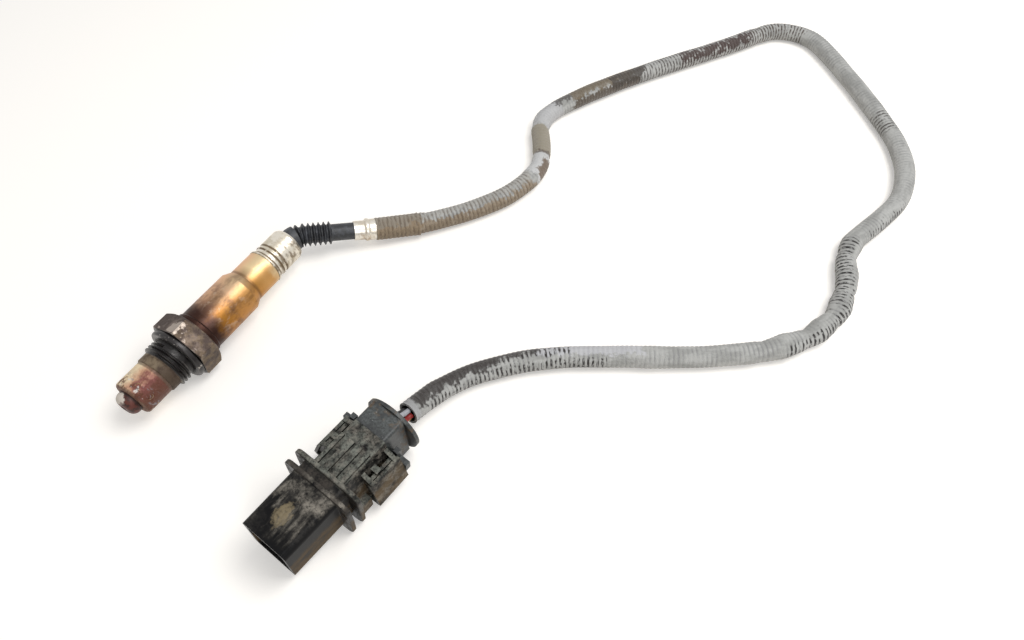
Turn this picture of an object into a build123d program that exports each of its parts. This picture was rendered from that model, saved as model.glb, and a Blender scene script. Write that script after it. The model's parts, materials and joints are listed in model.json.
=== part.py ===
from build123d import *
import os
from math import cos, pi, radians, sin, tan

# Planar wideband oxygen sensor with its lead and plug, lying on a flat surface.
# X runs along the sensor's axis, + toward the exhaust; 0 is the sealing face of the gasket.
# Z is up. Stations along X are worked out from lengths. All sizes are in millimetres.

os.makedirs("parts", exist_ok=True)

# ---------------------------------------------------------------------------------------- sizes
# threaded shell
THREAD_D = 18.0
THREAD_LENGTH = 5.2
THREAD_CHAMFER = 0.9
RELIEF_D = 16.2
RELIEF_LENGTH = 3.3
NECK_D = 15.8
NECK_LENGTH = 3.8
NECK_CHAMFER = 0.4
HEX_AF = 22.0
HEX_LENGTH = 7.8
HEX_ROLL = 22.0
HEX_REAR_CHAMFER = 1.5
HEX_FRONT_CHAMFER = 0.9
COLLAR_LENGTH = 6.5
LIP_LENGTH = 1.0
LIP_D = 9.8
CHAMBER_D = 12.0
GAS_BORE_D = 9.8
TUBE_SEAT_DEPTH = 2.5

# captive gasket
GASKET_D = 22.4
GASKET_THICKNESS = 2.3
GASKET_ROUND = 0.8
GASKET_CLEARANCE = 0.15
GASKET_LAND_CLEARANCE = 0.2

# protection tubes
OUTER_TUBE_D = 14.8
OUTER_TUBE_REACH = 11.0
OUTER_TUBE_WALL = 0.4
OUTER_TUBE_ROUND = 1.4
GAS_HOLE_D = 2.0
GAS_HOLE_COUNT = 8
GAS_HOLE_SETBACK = 3.6
INNER_TUBE_D = 9.4
INNER_TUBE_REACH = 14.8
INNER_TUBE_WALL = 0.35
INNER_TUBE_ROUND = 2.6
TIP_HOLE_D = 2.2
TUBE_CLEARANCE = 0.05

# sensing element and the packing that holds it
ELEMENT_WIDTH = 4.2
ELEMENT_THICKNESS = 1.3
ELEMENT_FRONT = 17.5
ELEMENT_CLEARANCE = 0.1
LOWER_BUSH_LENGTH = 4.0
TALC_LENGTH = 6.0
UPPER_BUSH_LENGTH = 4.6
UPPER_NOSE_D = 9.6
UPPER_NOSE_LENGTH = 4.4
PACKING_CLEARANCE = 0.05

# protective sleeve
SLEEVE_WALL = 0.5
SLEEVE_D = 17.5
SLEEVE_LENGTH = 23.4
SLEEVE_CLEARANCE = 0.05
SKIRT_D = 18.4
SKIRT_LENGTH = 2.0
TAPER_LENGTH = 3.0
UPPER_D = 14.6
UPPER_LENGTH = 11.2
TAIL_D = 12.6
TAIL_LENGTH = 6.3

# contact holder
HOLDER_D = 10.8
HOLDER_LENGTH = 15.0
HOLDER_GAP = 9.0
HOLDER_SLOT_WIDTH = 4.6
HOLDER_SLOT_HEIGHT = 2.8
RING_WALL = 0.4
RING_LENGTH = 4.0
RING_SETBACK = 4.0
RING_TAB_WIDTH = 2.4
RING_TAB_COUNT = 6

# contacts and wires
CONTACT_THICKNESS = 0.25
CONTACT_WIDTH = 0.9
CONTACT_BOW = 0.42
CRIMP_D = 1.7
CRIMP_LENGTH = 2.5
CRIMP_GAP = 2.2
WIRE_D = 1.9
WIRE_SPACING = 0.06
WIRE_COLOURS = ["grey", "red", "yellow", "white", "black"]

# crimped cap
CAP_LENGTH = 15.0
CAP_WALL = 0.45
CAP_LIP_RISE = 0.65
CAP_LIP_LENGTH = 0.9
CAP_BEAD_RISE = 0.25
CAP_BEAD_LENGTH = 1.0
CAP_BAND_LENGTH = 2.4
CAP_BODY_RISE = 0.2
CAP_ROUND = 1.7
CAP_HOLE_D = 10.0

# cable grommet and bellows
GROMMET_NOSE_LENGTH = 5.0
GROMMET_SHOULDER_LENGTH = 5.0
RUBBER_CLEARANCE = 0.05
ROOT_D = 9.8
ROOT_LENGTH = 4.0
BEND_SETBACK = 3.8
BEND_RADIUS = 9.0
HOSE_D = 7.0
HOSE_BORE = 5.4
RIB_D = 9.6
RIB_THICKNESS = 1.0
RIB_PITCH = 2.05
RIB_COUNT = 7

# crimp ferrule, along the same bend as the bellows
FERRULE_LENGTH = 9.0
FERRULE_FRONT_D = 8.0
FERRULE_BULGE_D = 9.4
FERRULE_BULGE_LENGTH = 2.4
FERRULE_END_D = 8.7
FERRULE_CRIMP_LENGTH = 3.6

# braided sleeve over the wires, from the ferrule to just short of the plug
CORD_D = 8.6
CORD_POINTS = [
    (-89.3, 22.2, -5.2),
    (-96.72, 29.43, -6.89),
    (-110.5, 42.2, -8.27),
    (-134.0, 58.5, -8.27),
    (-157.0, 63.5, -8.27),
    (-172.0, 56.0, -8.27),
    (-185.0, 47.0, -8.27),
    (-200.0, 49.5, -8.27),
    (-227.0, 63.0, -8.27),
    (-257.0, 82.0, -8.27),
    (-281.0, 98.5, -8.27),
    (-297.0, 108.5, -8.27),
    (-310.0, 116.3, -8.27),
    (-315.0, 124.2, -8.27),
    (-316.5, 133.5, -8.27),
    (-313.5, 142.4, -8.27),
    (-302.5, 155.0, -8.27),
    (-278.0, 179.5, -8.27),
    (-251.0, 202.5, -8.27),
    (-223.0, 209.0, -8.27),
    (-200.0, 201.5, -8.27),
    (-181.0, 194.5, -8.27),
    (-160.0, 202.0, -8.27),
    (-139.0, 201.0, -8.27),
    (-119.0, 188.0, -8.27),
    (-100.0, 162.5, -8.27),
    (-84.0, 133.5, -8.27),
    (-70.0, 111.0, -8.27),
    (-52.0, 93.5, -8.27),
    (-37.0, 86.3, -6.4),
    (-24.6, 84.3, -3.6),
]
CORD_FILLET_RATIO = 0.45

# plug: place of its centre between the two flanges, and how it lies
PLUG_ORIGIN = (14.385, 79.282, 1.027)
PLUG_YAW = -6.8
PLUG_ROLL = -6.0

# plug housing, with stations along its own axis, + toward the mouth
MOUTH_REACH = 22.8
SHROUD_WIDTH = 18.7
SHROUD_HEIGHT = 22.0
SHROUD_CORNER = 2.5
SHROUD_DRAFT = 1.0
SHROUD_WALL = 1.5
CAVITY_DRAFT = 0.5
CAVITY_FLOOR = 1.0
FLANGE_WIDTH = 27.5
FLANGE_HEIGHT = 24.6
FLANGE_DROP = 0.65
FLANGE_BULGE = 0.4
FLANGE_CORNER = 4.0
FLANGE_THICKNESS = 1.7
FLANGE_EDGE = 0.4
FLANGE_FACE = 1.9
FLANGE_GAP = 2.7
GROOVE_SHRINK = 0.6
CORE_REACH = 22.6
CORE_TOP_WIDTH = 12.8
CORE_BOTTOM_WIDTH = 21.2
CORE_TOP = 9.5
CORE_BOTTOM = -10.8
CORE_ROUND = 1.2
TOP_RIB_LENGTH = 12.1
TOP_RIB_HEIGHT = 1.2
TOP_RIB_SPANS = [(-6.1, -4.8), (0.5, 2.9)]
CHEEK_REACH = 23.3
CHEEK_LENGTH = 13.7
CHEEK_TOP = (11.8, 3.4)
CHEEK_FOOT = (15.1, -7.0)
CHEEK_WALL = 1.2
FRAME_WALL = 1.6
FRAME_SETBACK = 0.8
FRAME_RISE = 3.0
LATCH_SPAN = (9.0, 10.3)
LATCH_HEIGHT = 4.6
BRIDGE_SETBACK = 2.2
BRIDGE_LENGTH = 2.2
BRIDGE_RISE = 1.2
HEEL_SPAN = (8.4, 11.8)
HEEL_TOP = -4.0
HEEL_LENGTH = 5.0
CHAMBER_WIDTH = 12.6
CHAMBER_HEIGHT = 9.6
CHAMBER_CORNER = 2.0
CHAMBER_DEPTH = 9.0

# terminals and their seals
TERMINAL_COLUMNS = 3
WIRED_CAVITIES = [1, 2, 5, 3, 0]
SPARE_CAVITY = 4
COLUMN_PITCH = 4.2
ROW_PITCH = 5.0
BLADE_WIDTH = 1.5
BLADE_THICKNESS = 0.6
BLADE_REACH = 7.0
TERMINAL_SIZE = 2.2
TERMINAL_LENGTH = 7.0
TERMINAL_CLEARANCE = 0.1
TERMINAL_WALL = 2.6
SHEET_THICKNESS = 1.2
SHEET_MARGIN = 0.4
SEAL_LENGTH = 4.4
SEAL_RIB_HEIGHT = 0.35
SEAL_RIB_WIDTH = 0.9
RESISTOR_D = 2.0

# rear cover
COVER_BOTTOM_WIDTH = 17.2
COVER_LENGTH = 8.6
COVER_WALL = 1.3
COVER_COLLAR_LENGTH = 2.4
COVER_COLLAR_WALL = 0.8
COVER_CLEARANCE = 0.1
COVER_GROOVE = 0.5
COVER_DISC_D = 22.0
COVER_DISC_CENTRE = (0.6, -1.0)
COVER_DISC_THICKNESS = 1.3
COVER_OPENING_D = 9.2
COVER_OPENING_CENTRE = (0.4, -2.6)
EAR_REACH = 14.2
EAR_SPAN = (-5.0, -0.6)
EAR_LENGTH = 2.0
EAR_TAB_SPAN = (8.6, 10.6)
EAR_TAB_TOP = 4.2

# wires at the plug
WIRE_LEAD_IN = 2.0
WIRE_SPREAD = 1.5
WIRE_BEND_R = 3.0

# ------------------------------------------------------------------------------ worked-out values
HEX_FRONT = -GASKET_THICKNESS
HEX_REAR = HEX_FRONT - HEX_LENGTH
THREAD_START = HEX_FRONT + RELIEF_LENGTH
THREAD_END = THREAD_START + THREAD_LENGTH
SHELL_FRONT = THREAD_END + NECK_LENGTH
TUBE_SEAT = SHELL_FRONT - TUBE_SEAT_DEPTH
COLLAR_REAR = HEX_REAR - COLLAR_LENGTH
LIP_FRONT = COLLAR_REAR + LIP_LENGTH
TALC_REAR = LIP_FRONT + UPPER_BUSH_LENGTH
TALC_FRONT = TALC_REAR + TALC_LENGTH
CHAMBER_FRONT = TALC_FRONT + LOWER_BUSH_LENGTH
HOLDER_FRONT = LIP_FRONT - UPPER_NOSE_LENGTH - HOLDER_GAP
HOLDER_REAR = HOLDER_FRONT - HOLDER_LENGTH
TAPER_FRONT = HEX_REAR - SLEEVE_LENGTH
TAPER_REAR = TAPER_FRONT - TAPER_LENGTH
CAP_FRONT = TAPER_REAR - UPPER_LENGTH
TAIL_REAR = CAP_FRONT - TAIL_LENGTH
CAP_REAR = CAP_FRONT - CAP_LENGTH
COLLAR_D = SLEEVE_D - 2 * SLEEVE_WALL - 2 * SLEEVE_CLEARANCE
CAP_BAND_R = TAIL_D / 2 + CAP_WALL
CAP_BODY_R = CAP_BAND_R + CAP_BODY_RISE
CAP_BORE = 2 * (CAP_BODY_R - CAP_WALL)
CRIMP_FRONT = HOLDER_REAR - CRIMP_GAP
CRIMP_REAR = CRIMP_FRONT - CRIMP_LENGTH
FLANGE_FRONT = TAIL_REAR - GROMMET_SHOULDER_LENGTH
WIRE_CIRCLE = (WIRE_D + WIRE_SPACING) / 2 / sin(pi / len(WIRE_COLOURS))
WIRE_ANGLES = [90 - i * 360 / len(WIRE_COLOURS) for i in range(len(WIRE_COLOURS))]
WIRE_PLACES = [(WIRE_CIRCLE * cos(radians(a)), WIRE_CIRCLE * sin(radians(a))) for a in WIRE_ANGLES]


# --------------------------------------------------------------------------------------- helpers
def half_section(*corners):
    """A closed half section over the sensor's axis, from (station, radius) corners."""
    with BuildSketch(Plane.XY) as section:
        with BuildLine():
            Polyline(*corners, close=True)
        make_face()
    return section.sketch


def easy_radii(points, ease=CORD_FILLET_RATIO):
    """The radius of each inner corner of a route, as large as its two runs allow."""
    radii = []
    for before, corner, after in zip(points, points[1:], points[2:]):
        back = Vector(*before) - Vector(*corner)
        ahead = Vector(*after) - Vector(*corner)
        turn = 180 - back.get_angle(ahead)
        radii.append(ease * min(back.length, ahead.length) / tan(radians(turn / 2)))
    return radii


# --------------------------------------------------------------------------------- threaded shell
with BuildPart() as sensor_shell:
    with BuildSketch(Plane.YZ.offset(HEX_REAR)):
        RegularPolygon(HEX_AF / 2, 6, major_radius=False, rotation=HEX_ROLL)
    extrude(amount=HEX_LENGTH)
    # both ends of the hexagon are turned back to a cone at 30 degrees
    hex_corner_r = HEX_AF / 2 / cos(pi / 6)
    revolve(
        half_section(
            (HEX_REAR, 0),
            (HEX_REAR, hex_corner_r - HEX_REAR_CHAMFER),
            (HEX_REAR + HEX_REAR_CHAMFER * tan(pi / 6), hex_corner_r),
            (HEX_FRONT - HEX_FRONT_CHAMFER * tan(pi / 6), hex_corner_r),
            (HEX_FRONT, hex_corner_r - HEX_FRONT_CHAMFER),
            (HEX_FRONT, 0),
        ),
        axis=Axis.X,
        mode=Mode.INTERSECT,
    )
    revolve(
        half_section(
            (HEX_FRONT - 1, 0),
            (HEX_FRONT - 1, RELIEF_D / 2),
            (THREAD_START, RELIEF_D / 2),
            (THREAD_START + THREAD_CHAMFER / 2, THREAD_D / 2),
            (THREAD_END - THREAD_CHAMFER / 2, THREAD_D / 2),
            (THREAD_END, NECK_D / 2),
            (SHELL_FRONT - NECK_CHAMFER, NECK_D / 2),
            (SHELL_FRONT, NECK_D / 2 - NECK_CHAMFER),
            (SHELL_FRONT, 0),
        ),
        axis=Axis.X,
    )
    revolve(
        half_section(
            (COLLAR_REAR, 0),
            (COLLAR_REAR, (LIP_D + COLLAR_D) / 4 + LIP_LENGTH / 2),
            (COLLAR_REAR + LIP_LENGTH / 2, COLLAR_D / 2),
            (HEX_REAR + 1, COLLAR_D / 2),
            (HEX_REAR + 1, 0),
        ),
        axis=Axis.X,
    )
    # bore: crimped lip, packing chamber, gas bore and the seat of the protection tubes
    revolve(
        half_section(
            (COLLAR_REAR - 1, 0),
            (COLLAR_REAR - 1, LIP_D / 2),
            (LIP_FRONT, LIP_D / 2),
            (LIP_FRONT, CHAMBER_D / 2),
            (CHAMBER_FRONT, CHAMBER_D / 2),
            (CHAMBER_FRONT, GAS_BORE_D / 2),
            (TUBE_SEAT, GAS_BORE_D / 2),
            (TUBE_SEAT, OUTER_TUBE_D / 2 + TUBE_CLEARANCE),
            (SHELL_FRONT + 1, OUTER_TUBE_D / 2 + TUBE_CLEARANCE),
            (SHELL_FRONT + 1, 0),
        ),
        axis=Axis.X,
        mode=Mode.SUBTRACT,
    )
sensor_shell.part.label = "sensor_shell"
export_step(sensor_shell.part, "parts/sensor_shell.step")

with BuildPart() as sealing_ring:
    gasket_bore_r = RELIEF_D / 2 + GASKET_CLEARANCE
    revolve(
        half_section(
            (HEX_FRONT, gasket_bore_r),
            (HEX_FRONT, GASKET_D / 2),
            (0, GASKET_D / 2),
            (0, THREAD_D / 2 + GASKET_LAND_CLEARANCE),
            (-GASKET_ROUND, gasket_bore_r),
        ),
        axis=Axis.X,
    )
    rims = sealing_ring.edges().filter_by(GeomType.CIRCLE).group_by(SortBy.RADIUS)[-1]
    fillet(rims, GASKET_ROUND)
sealing_ring.part.label = "sealing_ring"
export_step(sealing_ring.part, "parts/sealing_ring.step")

# ------------------------------------------------------------------------------- protection tubes
OUTER_FRONT = SHELL_FRONT + OUTER_TUBE_REACH
OUTER_REAR = TUBE_SEAT + INNER_TUBE_WALL
INNER_FRONT = SHELL_FRONT + INNER_TUBE_REACH

with BuildPart() as outer_protection_tube:
    tube_r = OUTER_TUBE_D / 2
    revolve(
        half_section((OUTER_REAR, 0), (OUTER_REAR, tube_r), (OUTER_FRONT, tube_r), (OUTER_FRONT, 0)),
        axis=Axis.X,
    )
    front_edge = outer_protection_tube.edges().filter_by(GeomType.CIRCLE).sort_by(Axis.X)[-1]
    fillet(front_edge, OUTER_TUBE_ROUND)
    rear_face = outer_protection_tube.faces().sort_by(Axis.X)[0]
    offset(amount=-OUTER_TUBE_WALL, openings=rear_face)
    # the front wall fits round the inner tube
    with BuildSketch(Plane.YZ.offset(OUTER_FRONT)):
        Circle(INNER_TUBE_D / 2 + TUBE_CLEARANCE)
    extrude(amount=-2 * OUTER_TUBE_WALL, mode=Mode.SUBTRACT)
    with BuildSketch(Plane.XY.offset(OUTER_TUBE_D)):
        with Locations((OUTER_FRONT - GAS_HOLE_SETBACK, 0)):
            Circle(GAS_HOLE_D / 2)
    gas_hole = extrude(amount=-OUTER_TUBE_D, mode=Mode.PRIVATE)
    for i in range(GAS_HOLE_COUNT):
        add(gas_hole.rotate(Axis.X, (i + 0.5) * 360 / GAS_HOLE_COUNT), mode=Mode.SUBTRACT)
outer_protection_tube.part.label = "outer_protection_tube"
export_step(outer_protection_tube.part, "parts/outer_protection_tube.step")

with BuildPart() as inner_protection_tube:
    tube_r = INNER_TUBE_D / 2
    revolve(
        half_section((TUBE_SEAT, 0), (TUBE_SEAT, tube_r), (INNER_FRONT, tube_r), (INNER_FRONT, 0)),
        axis=Axis.X,
    )
    front_edge = inner_protection_tube.edges().filter_by(GeomType.CIRCLE).sort_by(Axis.X)[-1]
    fillet(front_edge, INNER_TUBE_ROUND)
    rear_face = inner_protection_tube.faces().sort_by(Axis.X)[0]
    offset(amount=-INNER_TUBE_WALL, openings=rear_face)
    # flange that the outer tube clamps onto the floor of the seat
    flange_r = OUTER_TUBE_D / 2
    revolve(
        half_section(
            (TUBE_SEAT, tube_r - INNER_TUBE_WALL),
            (TUBE_SEAT, flange_r),
            (TUBE_SEAT + INNER_TUBE_WALL, flange_r),
            (TUBE_SEAT + INNER_TUBE_WALL, tube_r - INNER_TUBE_WALL),
        ),
        axis=Axis.X,
    )
    with BuildSketch(Plane.YZ.offset(INNER_FRONT)):
        Circle(TIP_HOLE_D / 2)
    extrude(amount=-2 * INNER_TUBE_WALL, mode=Mode.SUBTRACT)
inner_protection_tube.part.label = "inner_protection_tube"
export_step(inner_protection_tube.part, "parts/inner_protection_tube.step")

# ---------------------------------------------------------------------- sensing element, packing
with BuildPart() as sensing_element:
    with BuildSketch(Plane.YZ.offset(HOLDER_REAR)):
        Rectangle(ELEMENT_WIDTH, ELEMENT_THICKNESS)
    extrude(amount=ELEMENT_FRONT - HOLDER_REAR)
sensing_element.part.label = "sensing_element"
export_step(sensing_element.part, "parts/sensing_element.step")

PACKING_R = CHAMBER_D / 2 - PACKING_CLEARANCE
SLOT_WIDTH = ELEMENT_WIDTH + 2 * ELEMENT_CLEARANCE
SLOT_THICKNESS = ELEMENT_THICKNESS + 2 * ELEMENT_CLEARANCE

with BuildPart() as lower_bush:
    with BuildSketch(Plane.YZ.offset(TALC_FRONT)):
        Circle(PACKING_R)
        Rectangle(SLOT_WIDTH, SLOT_THICKNESS, mode=Mode.SUBTRACT)
    extrude(amount=LOWER_BUSH_LENGTH)
lower_bush.part.label = "lower_bush"
export_step(lower_bush.part, "parts/lower_bush.step")

with BuildPart() as talc_packing:
    with BuildSketch(Plane.YZ.offset(TALC_REAR)):
        Circle(PACKING_R)
        Rectangle(ELEMENT_WIDTH, ELEMENT_THICKNESS, mode=Mode.SUBTRACT)
    extrude(amount=TALC_LENGTH)
talc_packing.part.label = "talc_packing"
export_step(talc_packing.part, "parts/talc_packing.step")

with BuildPart() as upper_bush:
    with BuildSketch(Plane.YZ.offset(LIP_FRONT)):
        Circle(PACKING_R)
    extrude(amount=UPPER_BUSH_LENGTH)
    with BuildSketch(Plane.YZ.offset(LIP_FRONT)):
        Circle(UPPER_NOSE_D / 2)
    extrude(amount=-UPPER_NOSE_LENGTH)
    with BuildSketch(Plane.YZ.offset(TALC_REAR)):
        Rectangle(SLOT_WIDTH, SLOT_THICKNESS)
    extrude(amount=-UPPER_BUSH_LENGTH - UPPER_NOSE_LENGTH, mode=Mode.SUBTRACT)
upper_bush.part.label = "upper_bush"
export_step(upper_bush.part, "parts/upper_bush.step")

# ------------------------------------------------------------------------------ protective sleeve
with BuildPart() as protective_sleeve:
    lower_r = SLEEVE_D / 2
    upper_r = UPPER_D / 2
    tail_r = TAIL_D / 2
    skirt_rear = HEX_REAR - SKIRT_LENGTH
    revolve(
        half_section(
            (HEX_REAR, lower_r - SLEEVE_WALL),
            (HEX_REAR, SKIRT_D / 2),
            (skirt_rear, SKIRT_D / 2),
            (skirt_rear - (SKIRT_D - SLEEVE_D) / 2, lower_r),
            (TAPER_FRONT, lower_r),
            (TAPER_REAR, upper_r),
            (CAP_FRONT, upper_r),
            (CAP_FRONT, tail_r),
            (TAIL_REAR, tail_r),
            (TAIL_REAR, tail_r - SLEEVE_WALL),
            (CAP_FRONT + SLEEVE_WALL, tail_r - SLEEVE_WALL),
            (CAP_FRONT + SLEEVE_WALL, upper_r - SLEEVE_WALL),
            (TAPER_REAR, upper_r - SLEEVE_WALL),
            (TAPER_FRONT, lower_r - SLEEVE_WALL),
        ),
        axis=Axis.X,
    )
protective_sleeve.part.label = "protective_sleeve"
export_step(protective_sleeve.part, "parts/protective_sleeve.step")

# --------------------------------------------------------------------------------- contact holder
for half_name, half_side in (("upper", Keep.TOP), ("lower", Keep.BOTTOM)):
    with BuildPart() as contact_holder:
        with BuildSketch(Plane.YZ.offset(HOLDER_REAR)):
            Circle(HOLDER_D / 2)
            Rectangle(HOLDER_SLOT_WIDTH, HOLDER_SLOT_HEIGHT, mode=Mode.SUBTRACT)
        extrude(amount=HOLDER_LENGTH)
        split(bisect_by=Plane.XY, keep=half_side)
    contact_holder.part.label = f"contact_holder_{half_name}"
    export_step(contact_holder.part, f"parts/contact_holder_{half_name}.step")

with BuildPart() as holder_ring:
    ring_r = HOLDER_D / 2 + RING_WALL
    sleeve_bore_r = UPPER_D / 2 - SLEEVE_WALL
    ring_rear = HOLDER_REAR + RING_SETBACK
    with BuildSketch(Plane.YZ.offset(ring_rear)):
        Circle(ring_r)
        with PolarLocations((ring_r + sleeve_bore_r) / 2, RING_TAB_COUNT):
            Rectangle(sleeve_bore_r - HOLDER_D / 2, RING_TAB_WIDTH)
        Circle(sleeve_bore_r, mode=Mode.INTERSECT)
        Circle(HOLDER_D / 2, mode=Mode.SUBTRACT)
    extrude(amount=RING_LENGTH)
holder_ring.part.label = "holder_ring"
export_step(holder_ring.part, "parts/holder_ring.step")

# ------------------------------------------------------------------------------------- contacts
# Each is a bowed strip that bears on the element and ends in a crimp barrel on its wire.
for number, (across, up) in enumerate(WIRE_PLACES, 1):
    face_side = 1 if up > 0 else -1
    low = face_side * (ELEMENT_THICKNESS / 2 + CONTACT_THICKNESS / 2)
    high = low + face_side * CONTACT_BOW
    strip = HOLDER_LENGTH - 2
    with BuildPart() as contact:
        with BuildSketch(Plane.XZ.offset(-across)):
            with BuildLine():
                Polyline(
                    (HOLDER_REAR + strip, high),
                    (HOLDER_REAR + 0.85 * strip, low),
                    (HOLDER_REAR + 0.68 * strip, low),
                    (HOLDER_REAR + 0.5 * strip, high),
                    (HOLDER_REAR + 0.32 * strip, low),
                    (HOLDER_REAR, low),
                    (CRIMP_FRONT, up),
                    (CRIMP_FRONT - CRIMP_LENGTH / 2, up),
                )
            trace(line_width=CONTACT_THICKNESS)
        extrude(amount=CONTACT_WIDTH / 2, both=True)
        with BuildSketch(Plane.YZ.offset(CRIMP_REAR)):
            with Locations((across, up)):
                Circle(CRIMP_D / 2)
        extrude(amount=CRIMP_LENGTH)
    contact.part.label = f"contact_{number}"
    export_step(contact.part, f"parts/contact_{number}.step")

# ------------------------------------------------------------------------------------ crimped cap
with BuildPart() as crimp_cap:
    lip_r = CAP_BAND_R + CAP_LIP_RISE
    bead_r = CAP_BAND_R + CAP_BEAD_RISE
    bead_front = CAP_FRONT - CAP_LIP_LENGTH - CAP_BAND_LENGTH
    bead_rear = bead_front - CAP_BEAD_LENGTH
    body_front = bead_rear - CAP_BAND_LENGTH / 2
    bead_slope = CAP_BEAD_LENGTH / 4
    revolve(
        half_section(
            (CAP_FRONT, TAIL_D / 2),
            (CAP_FRONT, lip_r),
            (CAP_FRONT - CAP_LIP_LENGTH, lip_r),
            (CAP_FRONT - CAP_LIP_LENGTH - bead_slope, CAP_BAND_R),
            (bead_front, CAP_BAND_R),
            (bead_front - bead_slope, bead_r),
            (bead_rear + bead_slope, bead_r),
            (bead_rear, CAP_BAND_R),
            (body_front, CAP_BAND_R),
            (body_front - bead_slope, CAP_BODY_R),
            (CAP_REAR + CAP_ROUND, CAP_BODY_R),
            (CAP_REAR + CAP_ROUND / 3, CAP_BODY_R - CAP_ROUND / 3),
            (CAP_REAR, CAP_BODY_R - CAP_ROUND),
            (CAP_REAR, CAP_HOLE_D / 2),
            (CAP_REAR + CAP_WALL, CAP_HOLE_D / 2),
            (CAP_REAR + CAP_WALL, CAP_BODY_R - CAP_ROUND),
            (CAP_REAR + CAP_WALL + CAP_ROUND / 4, CAP_BORE / 2 - CAP_ROUND / 4),
            (CAP_REAR + CAP_WALL + CAP_ROUND, CAP_BORE / 2),
            (body_front - bead_slope, CAP_BORE / 2),
            (body_front, TAIL_D / 2),
        ),
        axis=Axis.X,
    )
crimp_cap.part.label = "crimp_cap"
export_step(crimp_cap.part, "parts/crimp_cap.step")

with BuildPart() as cable_grommet:
    with BuildSketch(Plane.YZ.offset(TAIL_REAR)):
        Circle(TAIL_D / 2 - SLEEVE_WALL - RUBBER_CLEARANCE)
    extrude(amount=GROMMET_NOSE_LENGTH)
    with BuildSketch(Plane.YZ.offset(TAIL_REAR)):
        Circle(CAP_BORE / 2 - RUBBER_CLEARANCE)
    extrude(amount=-GROMMET_SHOULDER_LENGTH)
    with BuildSketch(Plane.YZ.offset(TAIL_REAR + GROMMET_NOSE_LENGTH)):
        with Locations(*WIRE_PLACES):
            Circle(WIRE_D / 2)
    extrude(amount=-GROMMET_NOSE_LENGTH - GROMMET_SHOULDER_LENGTH, mode=Mode.SUBTRACT)
cable_grommet.part.label = "cable_grommet"
export_step(cable_grommet.part, "parts/cable_grommet.step")

# ------------------------------------------------------------- bellows sleeve, ferrule and wires
# All follow one bend, from the cap's axis to the first point of the braided sleeve.
RELIEF_START = CAP_REAR + CAP_WALL
RELIEF_CORNER = CAP_REAR - BEND_SETBACK
CORD_START = CORD_POINTS[0]

with BuildLine() as relief_line:
    FilletPolyline((RELIEF_START, 0, 0), (RELIEF_CORNER, 0, 0), CORD_START, radius=BEND_RADIUS)
RELIEF_PATH = relief_line.wire()
FERRULE_START = RELIEF_PATH.length - FERRULE_LENGTH


def along(distance):
    """The plane square to the relief's path, this far along it from the cap's rear wall."""
    return Plane(RELIEF_PATH.location_at(distance, position_mode=PositionMode.LENGTH))


def stretch(start, end):
    """The part of the relief's path between two distances along it."""
    return RELIEF_PATH.trim(start / RELIEF_PATH.length, end / RELIEF_PATH.length)


with BuildPart() as bellows_sleeve:
    flange_r = CAP_BORE / 2 - RUBBER_CLEARANCE
    flange_round = CAP_ROUND
    revolve(
        half_section(
            (FLANGE_FRONT, 0),
            (FLANGE_FRONT, flange_r),
            (RELIEF_START + flange_round, flange_r),
            (RELIEF_START, flange_r - flange_round),
            (RELIEF_START, 0),
        ),
        axis=Axis.X,
    )
    with BuildSketch(along(0)):
        Circle(ROOT_D / 2)
    sweep(path=stretch(0, ROOT_LENGTH))
    with BuildSketch(along(ROOT_LENGTH / 2)):
        Circle(HOSE_D / 2)
    sweep(path=stretch(ROOT_LENGTH / 2, RELIEF_PATH.length))
    for i in range(RIB_COUNT):
        here = along(ROOT_LENGTH + RIB_THICKNESS + i * RIB_PITCH)
        rib_base = HOSE_D / 2 - RIB_THICKNESS / 4
        rib_tip = (RIB_D - RIB_THICKNESS) / 2
        with BuildSketch(Plane(origin=here.origin, x_dir=here.z_dir, z_dir=here.x_dir)):
            with Locations((0, (rib_base + rib_tip) / 2)):
                SlotCenterToCenter(rib_tip - rib_base, RIB_THICKNESS, rotation=90)
        revolve(axis=Axis(here.origin, here.z_dir))
    # the bore that the wires run through
    with BuildSketch(Plane.YZ.offset(FLANGE_FRONT)):
        Circle(HOSE_BORE / 2)
    extrude(amount=RELIEF_START - FLANGE_FRONT, mode=Mode.SUBTRACT)
    with BuildSketch(along(0)):
        Circle(HOSE_BORE / 2)
    sweep(path=RELIEF_PATH, mode=Mode.SUBTRACT)
bellows_sleeve.part.label = "bellows_sleeve"
export_step(bellows_sleeve.part, "parts/bellows_sleeve.step")

with BuildPart() as crimp_ferrule:
    mouth_plane = along(FERRULE_START)
    bulge_front = FERRULE_LENGTH - FERRULE_CRIMP_LENGTH - FERRULE_BULGE_LENGTH / 2
    bulge_rear = bulge_front + FERRULE_BULGE_LENGTH
    with BuildSketch(Plane(origin=mouth_plane.origin, x_dir=mouth_plane.z_dir, z_dir=mouth_plane.x_dir)):
        with BuildLine():
            Polyline(
                (0, HOSE_D / 2),
                (0, FERRULE_FRONT_D / 2),
                (bulge_front, FERRULE_FRONT_D / 2),
                (bulge_front + FERRULE_BULGE_LENGTH / 3, FERRULE_BULGE_D / 2),
                (bulge_rear - FERRULE_BULGE_LENGTH / 3, FERRULE_BULGE_D / 2),
                (bulge_rear, FERRULE_END_D / 2),
                (FERRULE_LENGTH, FERRULE_END_D / 2),
                (FERRULE_LENGTH, HOSE_D / 2),
                close=True,
            )
        make_face()
    revolve(axis=Axis(mouth_plane.origin, mouth_plane.z_dir))
crimp_ferrule.part.label = "crimp_ferrule"
export_step(crimp_ferrule.part, "parts/crimp_ferrule.step")

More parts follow.
